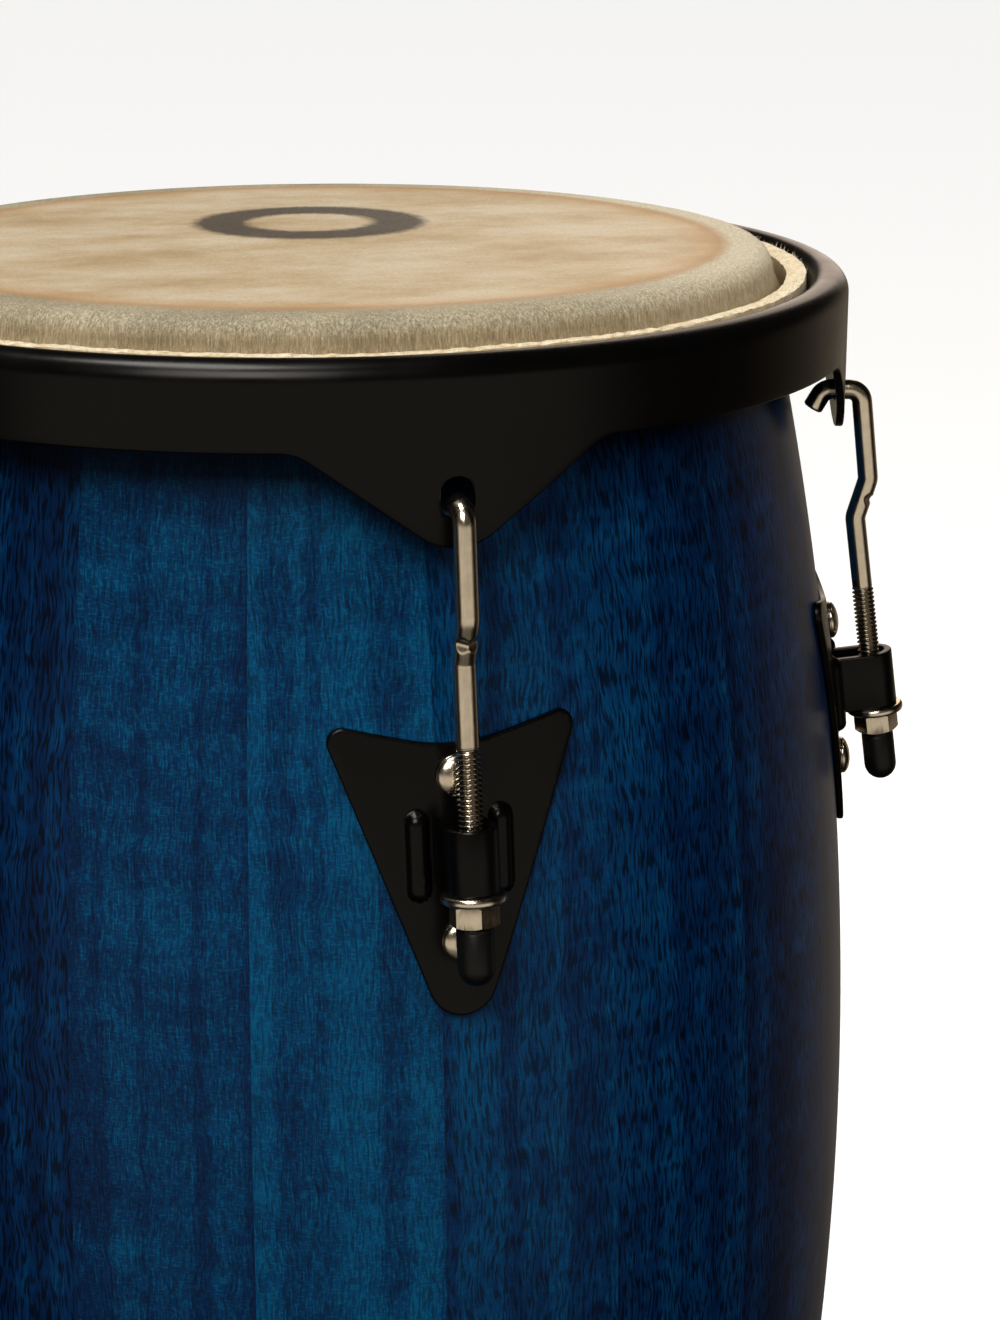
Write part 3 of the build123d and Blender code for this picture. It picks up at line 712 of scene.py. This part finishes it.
def hole_cutter():
    """A slot-shaped punch with flared ends, so that the hole it leaves has eased edges."""
    width, top, bottom = HOLE
    radius = width / 2
    ease = 0.5 * MM
    outer, inner = RIM_RADIUS, RIM_RADIUS - RIM_SHEET
    depths = [(inner - 1 * MM, ease)]
    depths += [(inner + ease * (1 - math.cos(t)), ease * (1 - math.sin(t))) for t in (0.3, 0.8, 1.57)]
    depths += [(outer - ease * (1 - math.cos(t)), ease * (1 - math.sin(t))) for t in (1.57, 0.8, 0.3)]
    depths += [(outer + 1 * MM, ease)]
    verts = []
    around = 48
    for depth, grow in depths:
        for step in range(around):
            angle = 2 * math.pi * (step + 0.5) / around
            end = top - radius if math.sin(angle) > 0 else bottom + radius
            reach = radius + grow
            height = RIM_EDGE + end + reach * math.sin(angle)
            verts.append((depth, reach * math.cos(angle), height))
    return new_piece("hole_cutter", verts, tube_faces(len(depths), around))


def make_rim():
    """Rolled steel rim: one sheet, from the ears' edge up and over the roll to its hidden lip."""
    steps = 900
    verts = []
    for step in range(steps):
        angle = 2 * math.pi * step / steps
        pitch = 2 * math.pi / LUGS
        from_lug = (angle + math.pi / 2 + pitch / 2) % pitch - pitch / 2
        bottom = RIM_EDGE - ear_depth(RIM_RADIUS * math.sin(from_lug))
        loop = rim_section(bottom)
        verts += [(r * math.cos(angle), r * math.sin(angle), z) for r, z in loop]
    size = len(loop)
    faces = []
    for step in range(steps):
        here, there = step * size, (step + 1) % steps * size
        for index in range(size):
            after = (index + 1) % size
            faces.append((here + index, there + index, there + after, here + after))
    rim = new_piece("rolled_rim", verts, faces, 60)
    cutters = joined("hole_cutters", copies(hole_cutter(), "punch", LUG_TURNS))
    cut(rim, cutters)
    tidy_normals(rim, 60)
    settle(rim, COAT, "rim", "rim")


# ---- side plates and brackets -----------------------------------------------------------------
PLATE = 2 * MM
PLATE_GAP = 0.1 * MM
RIB_OFFSET = 10.7 * MM
RIB_MIDDLE = -102.2 * MM
RIB_HALF = 8.3 * MM  # from the rib's middle to the centre of its round end
UPPER_BOLT, LOWER_BOLT = -83 * MM, -124.8 * MM  # heights from the rim's lower edge


def rib_height(x, y):
    """How far the pressed ribs stand up from the plate's face."""
    past = max(0.0, abs(y - RIB_MIDDLE) - RIB_HALF)
    away = math.hypot(abs(x) - RIB_OFFSET, past)
    spread = 3.1 * MM
    if away >= spread:
        return 0.0
    crown = (1 - (away / spread) ** 2.6) ** 0.75
    return 2.5 * MM * crown


def make_side_plates():
    """Blanked steel plates with eased edges, ribs pressed outwards, rolled to the shell's curve."""
    corners = [(0, -76.1), (33.8, -68.0), (0, -161.9), (-33.8, -68.0)]
    corners = [(x * MM, y * MM) for x, y in corners]
    radii = [r * MM for r in (50, 3.8, 9, 3.8)]
    outline = rounded(corners, radii, 0.5 * MM)
    fine = steps_between(6.9 * MM, 14.5 * MM, 0.38 * MM)
    cuts_x = [-x for x in fine] + fine + steps_between(-6 * MM, 6 * MM, 1.5 * MM)
    cuts_x += steps_between(16 * MM, 32 * MM, 2 * MM) + steps_between(-32 * MM, -16 * MM, 2 * MM)
    cuts_y = steps_between(-115 * MM, -90 * MM, 0.5 * MM) + steps_between(-142 * MM, -118 * MM, 4 * MM)
    cuts_y += steps_between(-87 * MM, -71 * MM, 4 * MM)
    plate = blank("side_plate_blank", outline, PLATE, 0.55 * MM, cuts_x, cuts_y)
    for vert in plate.data.vertices:
        x, y, depth = vert.co
        height = RIM_EDGE + y
        share = min(1.0, depth / PLATE)
        raised = rib_height(x, y) * share if share > 0.9 else 0
        reach = shell_radius(height) + PLATE_GAP + depth + raised
        angle = math.asin(x / reach)
        vert.co = (reach * math.cos(angle), reach * math.sin(angle), height)
    tidy_normals(plate, 50)
    at_lugs(plate, "side_plate_sheet", COAT, "shell", "side_plate_{}")


def make_brackets():
    """Straps bent round the hooks: a half-round nose, and legs that go through the plate."""
    outer, strap = 6.65 * MM, 2.4 * MM
    inner = outer - strap
    back = 10.2 * MM
    outline = arc((0, 0), outer, -90, 90, 24) + [(-back, outer), (-back, inner)]
    outline += arc((0, 0), inner, 90, -90, 18) + [(-back, -inner), (-back, -outer)]
    bracket = blank("bracket_blank", outline, BRACKET_TO - BRACKET_FROM, 0.45 * MM)
    bracket.data.transform(on_axis(BRACKET_TO))
    tidy_normals(bracket, 50)
    at_lugs(bracket, "bracket_strap", COAT, "shell", "lug_bracket_{}")


def make_plate_bolts():
    """Domed bolts with a thin flange at the head's edge, through plate and wood."""
    head, height, shank = 5.5 * MM, 3.1 * MM, 3 * MM
    length = 19.3 * MM
    flange = 0.55 * MM
    section = [(0, height)]
    for step in range(1, 14):
        lean = step * math.pi / 28
        section.append((head * math.sin(lean), flange + (height - flange) * math.cos(lean)))
    section += arc((head - 0.25 * MM, 0.3 * MM), 0.25 * MM, 60, -90, 5)
    section += [(shank, 0), (shank, -length + 0.6 * MM), (shank - 0.6 * MM, -length), (0, -length)]
    bolt = lathe("bolt", section, 48, sharp=45)
    face = PLATE_GAP + PLATE
    places = [turn @ on_shell(up, face) for turn in LUG_TURNS for up in (UPPER_BOLT, LOWER_BOLT)]
    bolts = joined("domed_bolts", copies(bolt, "bolt", places))
    bolts.data.set_sharp_from_angle(angle=math.radians(45))
    settle(bolts, NICKEL, "shell", "plate_bolts")


# ---- hooks, nuts, washers and caps ------------------------------------------------------------
def hook_route():
    """Places along the hook's middle line, close together, from its tail to the end of the thread."""
    lower = on_axis(1.5 * MM).translation
    end = on_axis(ROD_END).translation
    corners = [(142.9, -19.4), (146.1, -13.8), (156.75, -13.8), (159.7, -40.2)]
    corners = [Vector((r * MM, 0, RIM_EDGE + z * MM)) for r, z in corners] + [lower, end]
    radii = [3.9 * MM, 4 * MM, 5 * MM, 5 * MM]
    points = [corners[0]]
    for before, here, after, radius in zip(corners, corners[1:], corners[2:], radii):
        back, on = (before - here).normalized(), (after - here).normalized()
        half = back.angle(on) / 2
        centre = here + (back + on).normalized() * (radius / math.sin(half))
        first = here + back * (radius / math.tan(half)) - centre
        last = here + on * (radius / math.tan(half)) - centre
        for bit in range(13):
            points.append(centre + first.slerp(last, bit / 12) * radius)
    points.append(end)
    route = []
    for a, b in zip(points, points[1:]):
        step = 0.4 * MM
        if a is points[-2]:
            step = PITCH / 10
        count = max(1, round((b - a).length / step))
        route += [a.lerp(b, i / count) for i in range(count)]
    return route + [end]


def make_hooks():
    """Drawn rod, bent cold: tail, top bend, a kink with the press's pinch mark, and a cut thread."""
    route = hook_route()
    headings = []
    for index in range(len(route)):
        before, after = route[max(0, index - 1)], route[min(len(route) - 1, index + 1)]
        headings.append((after - before).normalized())
    lengths = [0.0]
    for a, b in zip(route, route[1:]):
        lengths.append(lengths[-1] + (b - a).length)
    total = lengths[-1]
    thread_start = total - (ROD_END - THREAD_FROM)
    pinch = next(s for s, p in zip(lengths, route) if p.z < RIM_EDGE - 45.2 * MM and s > 0.02)
    depth, ease = 0.78 * MM, 0.5 * MM
    pinch_reach, pinch_depth, pinch_lean = 2.6 * MM, 1.0 * MM, math.radians(36)
    painted_root_shades = []

    def size(index, angle):
        at = lengths[index]
        radius = ROD_RADIUS
        painted_root_shades.append(0.0)
        end = min(at, total - at)
        if at > thread_start:
            into = at - thread_start
            fade = min(1.0, into / (1.2 * PITCH))
            phase = ((total - at) / PITCH - angle / (2 * math.pi)) % 1.0
            groove = min(1.0, max(0.0, (abs(phase - 0.5) * 2 - 0.14) / 0.66))
            crest = ROD_RADIUS + (THREAD_RADIUS - ROD_RADIUS) * fade
            radius = crest - depth * groove * fade
            painted_root_shades[-1] = groove * fade
        if end < ease:
            radius -= ease - math.sqrt(ease**2 - (ease - end) ** 2)
        away = abs(at - pinch)
        if away < pinch_reach:
            flat = ROD_RADIUS - pinch_depth * (1 + math.cos(math.pi * away / pinch_reach)) / 2
            for side in (-1, 1):
                facing = math.cos(angle - side * pinch_lean)
                radius = min(radius, flat / facing) if facing > 0.4 else radius
        return radius

    hook = swept("hook", list(zip(route, headings)), size, 40)
    # painted shade for the thread's roots, kept on each point for the nickel
    painted_root_shade_layer = hook.data.attributes.new("groove", "FLOAT", "POINT")
    painted_root_shade_layer.data.foreach_set("value", painted_root_shades)
    at_lugs(hook, "hook_rod", NICKEL, "hook_{}", "tuning_hook_{}")


def make_nuts():
    """Hexagon nuts, their end faces turned to a cone at the corners, with a countersunk thread."""
    flats = 11.1125 * MM
    height = NUT_TO - NUT_FROM
    corner = flats / math.sqrt(3)
    corners = [math.radians(turn) for turn in range(30, 390, 60)]
    verts = [(corner * math.cos(a), corner * math.sin(a), z) for z in (0, height) for a in corners]
    faces = [tuple(range(6)), tuple(range(6, 12))]
    faces += [(i, (i + 1) % 6, 6 + (i + 1) % 6, 6 + i) for i in range(6)]
    nut = new_piece("nut", verts, faces, 25)
    bore, drop, flat = THREAD_RADIUS + 0.05 * MM, 0.55 * MM, corner - 0.75 * MM
    clear, cone = corner + 0.4 * MM, 0.66 * MM
    section = [(bore + drop, 0), (flat, 0), (clear, cone), (clear, height - cone)]
    section += [(flat, height), (bore + drop, height)]
    section += [(bore, height - drop), (bore, drop)]
    cut(nut, lathe("turned", section, 96), "INTERSECT")
    edges = {"limit_method": "ANGLE", "angle_limit": math.radians(22)}
    modify(nut, "BEVEL", width=0.12 * MM, segments=2, **edges)
    tidy_normals(nut, 28)
    nut.data.transform(on_axis(NUT_TO) @ Matrix.Rotation(math.radians(30), 4, "Z"))
    at_lugs(nut, "hexagon_nut", WARM_NICKEL, "nut_{}", "tuning_nut_{}")


def make_washers():
    """Thick turned washers between bracket and nut, well rounded at the edge."""
    radius, bore = 8.3 * MM, THREAD_RADIUS + 0.35 * MM
    height = WASHER_TO - BRACKET_TO
    bend = height * 0.42
    section = [(bore + 0.3 * MM, 0)] + arc((radius - bend, bend), bend, -90, 0, 6)
    section += arc((radius - bend, height - bend), bend, 0, 90, 6)
    section += [(bore + 0.3 * MM, height), (bore, height - 0.3 * MM), (bore, 0.3 * MM)]
    washer = lathe("washer", section, 72)
    turns = [turn @ on_axis(WASHER_TO) for turn in LUG_TURNS]
    washers = joined("lug_washers", copies(washer, "washer", turns))
    settle(washers, NICKEL, "shell", "tuning_washers")


def make_caps():
    """Soft caps over the threads' ends: a round end, a thin rolled mouth and a faint mould line."""
    radius = 4.7 * MM
    length = ROD_END - CAP_FROM
    section = [(0, -radius)] + arc((0, 0), radius, -84, 0, 16)
    section += [(radius, length - 1.3 * MM), (radius - 0.12 * MM, length - 1.1 * MM)]
    section += arc((radius - 0.45 * MM, length - 0.45 * MM), 0.45 * MM, 0, 90, 4)
    bore = THREAD_RADIUS + 0.02 * MM
    section += [(bore + 0.3 * MM, length), (bore, length - 0.3 * MM), (bore, 0.02 * MM), (0, 0.02 * MM)]
    cap = lathe("cap", section, 64)
    cap.data.transform(on_axis(ROD_END))
    at_lugs(cap, "thread_cap", CAP_RUBBER, "hook_{}", "lug_cap_{}")


# ---- hide -------------------------------------------------------------------------------------
SKIN = 2.2 * MM
HOOP_ROD = (HOOP_HIGH.z - HOOP_LOW.z) / 2
HOOP_MIDDLE = (HOOP_HIGH.x - HOOP_ROD, (HOOP_LOW.z + HOOP_HIGH.z) / 2)
WRAP = HOOP_ROD + 0.05 * MM


def waves(rng, count, lowest, highest):
    """A gentle closed curve round the drum: a sum of a few waves with whole numbers of periods."""
    parts = []
    for _ in range(count):
        turns = rng.randint(lowest, highest)
        parts.append((turns, rng.uniform(0, 2 * math.pi), rng.uniform(0.4, 1)))
    total = sum(size for _, _, size in parts)
    return lambda at: sum(size * math.sin(turns * at + start) for turns, start, size in parts) / total


def make_head():
    """The hide over the bearing edge and down to the hoop, dried to a slightly uneven surface."""
    rng = random.Random(11)
    edge_start = BEARING_EDGE - 4 * MM
    corner = (shell_radius(edge_start) - 4 * MM, edge_start)
    inner, outer = 4.1 * MM, 6.3 * MM
    flare = shell_radius(COLLAR_TOP) - shell_radius(edge_start)
    start = Vector((corner[0] + (inner + outer) / 2 + flare, COLLAR_TOP))
    towards = Vector(HOOP_MIDDLE) - start
    middle = WRAP + SKIN / 2
    heading = math.atan2(towards.y, towards.x) - math.asin(middle / towards.length)
    across = Vector((math.sin(heading), -math.cos(heading)))
    touch = Vector(HOOP_MIDDLE) + across * middle
    out_end, in_end = touch - across * SKIN / 2, touch + across * SKIN / 2
    top = corner[1] + outer
    radii = [r * MM for r in (4, 12, 24, 36, 48, 60, 72, 84, 94, 102, 108, 113, 117, 121)]
    section = [(0, top)] + [(r, top) for r in radii]
    section += arc(corner, outer, 90, 0, 14)
    shown = len(section)
    low_out = Vector((corner[0] + outer + flare, COLLAR_TOP))
    section += [tuple(low_out.lerp(out_end, i / 8)) for i in range(9)]
    section += [tuple(in_end)]
    low_in = Vector((corner[0] + inner + flare + 0.1 * MM, COLLAR_TOP))
    section += [tuple(low_in), (corner[0] + inner, corner[1])]
    section += arc(corner, inner, 0, 90, 8)[1:]
    section += [(r, corner[1] + inner) for r in reversed(radii[::3])] + [(0, corner[1] + inner)]
    sag, pull = waves(rng, 5, 2, 9), waves(rng, 6, 20, 60)

    def dried(index, angle, radius, height):
        if index >= shown:
            return radius, height
        near_edge = max(0.0, min(1.0, (radius - 0.1) / 0.03))
        drop = 0.12 * MM * (1 + sag(angle)) * min(1.0, radius / 0.06)
        return radius - 0.12 * MM * (1 + pull(angle)) * near_edge, height - drop

    head = lathe("hide_head", section, 288, dried, 60)
    dress(head, HIDE)
    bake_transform(head)
    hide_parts("drum_skin", "skin_collar")


def make_hide_fold():
    """The hide turned under and over the hoop, its rough cut end standing up inside the rim."""
    rng = random.Random(5)
    hoop = HOOP_MIDDLE
    wrap_outer = WRAP + SKIN
    start, leave = -154, 112
    end_height = RIM_EDGE + 22.0 * MM
    section = arc(hoop, wrap_outer, start, leave, 40)
    outer_count = len(section)
    foot_out = Vector(section[-1])
    end_out, end_in = Vector((139.5 * MM, end_height)), Vector((134.0 * MM, end_height - 0.7 * MM))
    section += [tuple(foot_out.lerp(end_out, t)) for t in (0.25, 0.5, 0.7, 0.85, 0.95)]
    section += [tuple(end_out), (138.3 * MM, end_height + 0.35 * MM), (136.4 * MM, end_height + 0.2 * MM)]
    section += [tuple(end_in)]
    foot_in = Vector((hoop[0] - 4.9 * MM, hoop[1] + 4.0 * MM))
    section += [tuple(end_in.lerp(foot_in, t)) for t in (0.1, 0.25, 0.5, 0.75, 1.0)]
    section += arc(hoop, WRAP, 128, start, 30)
    coarse, fine, lean = waves(rng, 7, 3, 19), waves(rng, 14, 40, 150), waves(rng, 6, 5, 31)
    tears = waves(rng, 10, 120, 260)
    low = hoop[1] + wrap_outer

    def ragged(index, angle, radius, height):
        if height < low or index < outer_count:
            return radius, height
        share = (height - low) / (end_height - low)
        rough = 0.5 * coarse(angle) + 0.5 * fine(angle)
        tilt = 0.5 * MM * lean(angle) * share
        rough += 0.35 * tears(angle)
        radius += tilt + 0.35 * MM * fine(angle + index) * share
        return radius, height - 0.75 * MM * (1 - rough) * share

    fold = lathe("hide_cut_end", section, 900, ragged, 60)
    settle(fold, HIDE_EDGE, "rim", "skin_fold")


def make_hairs(name, strands, body):
    """Thin tapered blades, each from a (root, tip, outward, half width sideways)."""
    verts, faces = [], []
    for root, tip, outward, side in strands:
        first = len(verts)
        verts += [root - side, root + side, root - outward * 0.15 * MM, tip]
        faces += [(first, first + 1, first + 3), (first + 1, first + 2, first + 3)]
        faces += [(first + 2, first, first + 3), (first, first + 2, first + 1)]
    hairs = new_piece(name, verts, faces)
    dress(hairs, HIDE_EDGE)
    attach(hairs, body)


def directions(turn):
    """Away from the drum's axis at a turn, and round it."""
    return Vector((math.cos(turn), math.sin(turn), 0)), Vector((-math.sin(turn), math.cos(turn), 0))


def make_stray_hairs():
    """Clipped hairs standing off the head's shoulder, and a fringe along the hide's cut end."""
    rng = random.Random(23)
    clipped_count, fringe_count = 3000, 900
    edge_start = BEARING_EDGE - 4 * MM
    corner = (shell_radius(edge_start) - 4 * MM, edge_start)
    skin_outside = 6.05 * MM
    clipped, fringe = [], []
    for _ in range(clipped_count):
        away, side = directions(rng.uniform(0, 2 * math.pi))
        bend = math.radians(rng.uniform(5, 90))
        inward = rng.uniform(0, 6) * MM if math.degrees(bend) > 70 else 0
        outward = away * math.cos(bend) + Vector((0, 0, math.sin(bend)))
        root = away * (corner[0] - inward) + Vector((0, 0, corner[1])) + outward * skin_outside
        lean = side * rng.uniform(-1, 1) + away * 0.6 + Vector((0, 0, rng.uniform(-0.8, 0)))
        length = rng.uniform(0.6, 1.7) * MM * math.cos(bend * 0.8)
        tip = root + (outward * 0.5 + lean * 0.7).normalized() * length
        tip.z = min(tip.z, SKIN_TOP + 0.3 * MM)
        clipped.append((root, tip, outward, side * rng.uniform(0.04, 0.09) * MM))
    for _ in range(fringe_count):
        away, side = directions(rng.uniform(0, 2 * math.pi))
        radius = rng.uniform(136.5, 139.2) * MM
        root = away * radius + Vector((0, 0, RIM_EDGE + 20.6 * MM))
        outward = min(rng.uniform(-0.2, 1.3) * MM, 139.9 * MM - radius)
        tip = root + away * outward + side * rng.uniform(-0.9, 0.9) * MM
        tip.z += rng.uniform(1.4, 2.5) * MM
        fringe.append((root, tip, away, side * rng.uniform(0.06, 0.12) * MM))
    make_hairs("clipped_hairs", clipped, "shell")
    make_hairs("fringe_hairs", fringe, "rim")


# ---- stage ------------------------------------------------------------------------------------
def add_light(name, place, target, size, power, colour, lights=True, mirrored=True):
    light = bpy.data.lights.new(name, "AREA")
    light.shape = "RECTANGLE"
    light.size, light.size_y = size
    light.energy = power
    light.color = srgb(colour)[:3]
    lamp = placed(name, light)
    lamp.location = place
    lamp.visible_diffuse = lights
    lamp.visible_glossy = mirrored
    lamp.rotation_euler = (Vector(target) - Vector(place)).to_track_quat("-Z", "Y").to_euler()


def make_stage():
    reach = 60
    corners = [(x * reach, y * reach, FLOOR) for x, y in ((-1, -1), (1, -1), (1, 1), (-1, 1))]
    floor = new_piece("studio_floor", corners, [(0, 1, 2, 3)])
    looks = {"Roughness": 0.9, "Specular_IOR_Level": 0.1, "Base_Color": srgb("#f4f3f1")}
    looks |= {"Emission_Color": srgb("#ffffff"), "Emission_Strength": 0.12}
    floor.data.materials.append(begin("studio_floor_paint", **looks)[0])
    # the floor is left out of reflections and bounced light, which would grey the dark parts
    floor.visible_glossy = False
    floor.visible_diffuse = False

    world = bpy.data.worlds.new("studio")
    bpy.context.scene.world = world
    world.use_nodes = True
    tree = world.node_tree
    towards = add(tree, "TexCoord", out="Generated")
    up = add(tree, "SeparateXYZ", {0: towards}, 2)
    room = add(tree, "ValToRGB", {0: up}, stops=[(0.0, 0.02), (0.3, 0.25), (1.0, 0.4)])
    # what the nickel mirrors: a bright wall in front, dark sides, a lit wall behind
    ahead = {0: towards, 1: (-0.26, -0.97, 0)}
    ahead = add(tree, "VectorMath", ahead, "Value", operation="DOT_PRODUCT")
    streaks = add(tree, "TexNoise", {"Vector": towards}, Scale=6, Detail=1)
    ahead = add(tree, "Math", {0: ahead, 1: 0.5, 2: 0.38}, operation="MULTIPLY_ADD")
    ahead = add(tree, "Math", {0: streaks, 1: 0.26, 2: ahead}, operation="MULTIPLY_ADD")
    stops = [(0.1, "#9a8d79"), (0.3, "#5f5447"), (0.5, "#17120e"), (0.7, "#41372b"), (0.8, "#e3d8c6")]
    wall = add(tree, "ValToRGB", {0: ahead}, stops=stops)
    level = add(tree, "Math", {0: up, 1: 0.5, 2: 0.5}, operation="MULTIPLY_ADD")
    stops = [(0.02, 0.6), (0.08, 0.12), (0.22, 0.35), (0.3, 1.0), (0.47, 1.0), (0.58, 0.13), (1.0, 0.08)]
    shade = add(tree, "ValToRGB", {0: level}, stops=stops)
    warm = add(tree, "Mix", {AMOUNT: 1.0, UNDER: wall, OVER: shade}, BLENDED, **TINT)
    light = room
    for rays, over in (("Is Glossy Ray", warm), ("Is Camera Ray", "#f6f5f3")):
        mix = {AMOUNT: add(tree, "LightPath", out=rays), UNDER: light, OVER: over}
        light = add(tree, "Mix", mix, BLENDED, **BLEND)
    tree.links.new(light, tree.nodes["Background"].inputs[0])

    sky = bpy.data.lights.new("overhead", "SUN")
    sky.energy = 1.9
    sky.angle = math.radians(50)
    lamp = placed("overhead", sky)
    lamp.rotation_euler = (math.radians(-10), math.radians(-14), 0)
    lamp.visible_glossy = False
    middle = (0, 0, 0.6)
    add_light("key_box", (-1.1, -1.8, 2.5), middle, (1.3, 1.3), 62, "#fff6ec")
    add_light("top_box", (-0.55, -0.1, 2.6), middle, (1.0, 0.6), 40, "#fffaf2", lights=False)
    add_light("fill_box", (1.7, -1.5, 2.0), middle, (1.0, 1.0), 16, "#fff6ec", mirrored=False)
    add_light("edge_box", (1.0, 1.8, 1.3), middle, (0.8, 1.4), 6, "#ffe9d6")


def make_camera():
    """A standing view, a little above the rim, turned slightly to the right."""
    heading = math.radians(-12.7)
    distance, height = 803.9 * MM, RIM_EDGE + 146.9 * MM
    turn, pitch = math.radians(-3.78), math.radians(-16.87)
    data = bpy.data.cameras.new("camera")
    data.lens = 76.96
    data.sensor_width = 36
    data.clip_start = 0.02
    data.clip_end = 200
    camera = placed("camera", data)
    camera.location = (distance * math.sin(heading), -distance * math.cos(heading), height)
    camera.rotation_euler = (math.pi / 2 + pitch, 0, heading + turn)
    bpy.context.scene.camera = camera


for stave in range(STAVES):
    make_stave(stave)
make_foot_ring()
make_rim()
make_side_plates()
make_brackets()
make_plate_bolts()
make_hooks()
make_nuts()
make_washers()
make_caps()
make_head()
make_hide_fold()
make_stray_hairs()
for node, material in (("bolt_washers", ZINC), ("bolt_nuts", ZINC), ("flesh_hoop", ZINC)):
    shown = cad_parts[node]
    shown.data.materials.clear()
    shown.data.materials.append(material)
make_stage()
make_camera()
bpy.context.scene.view_settings.view_transform = "Standard"
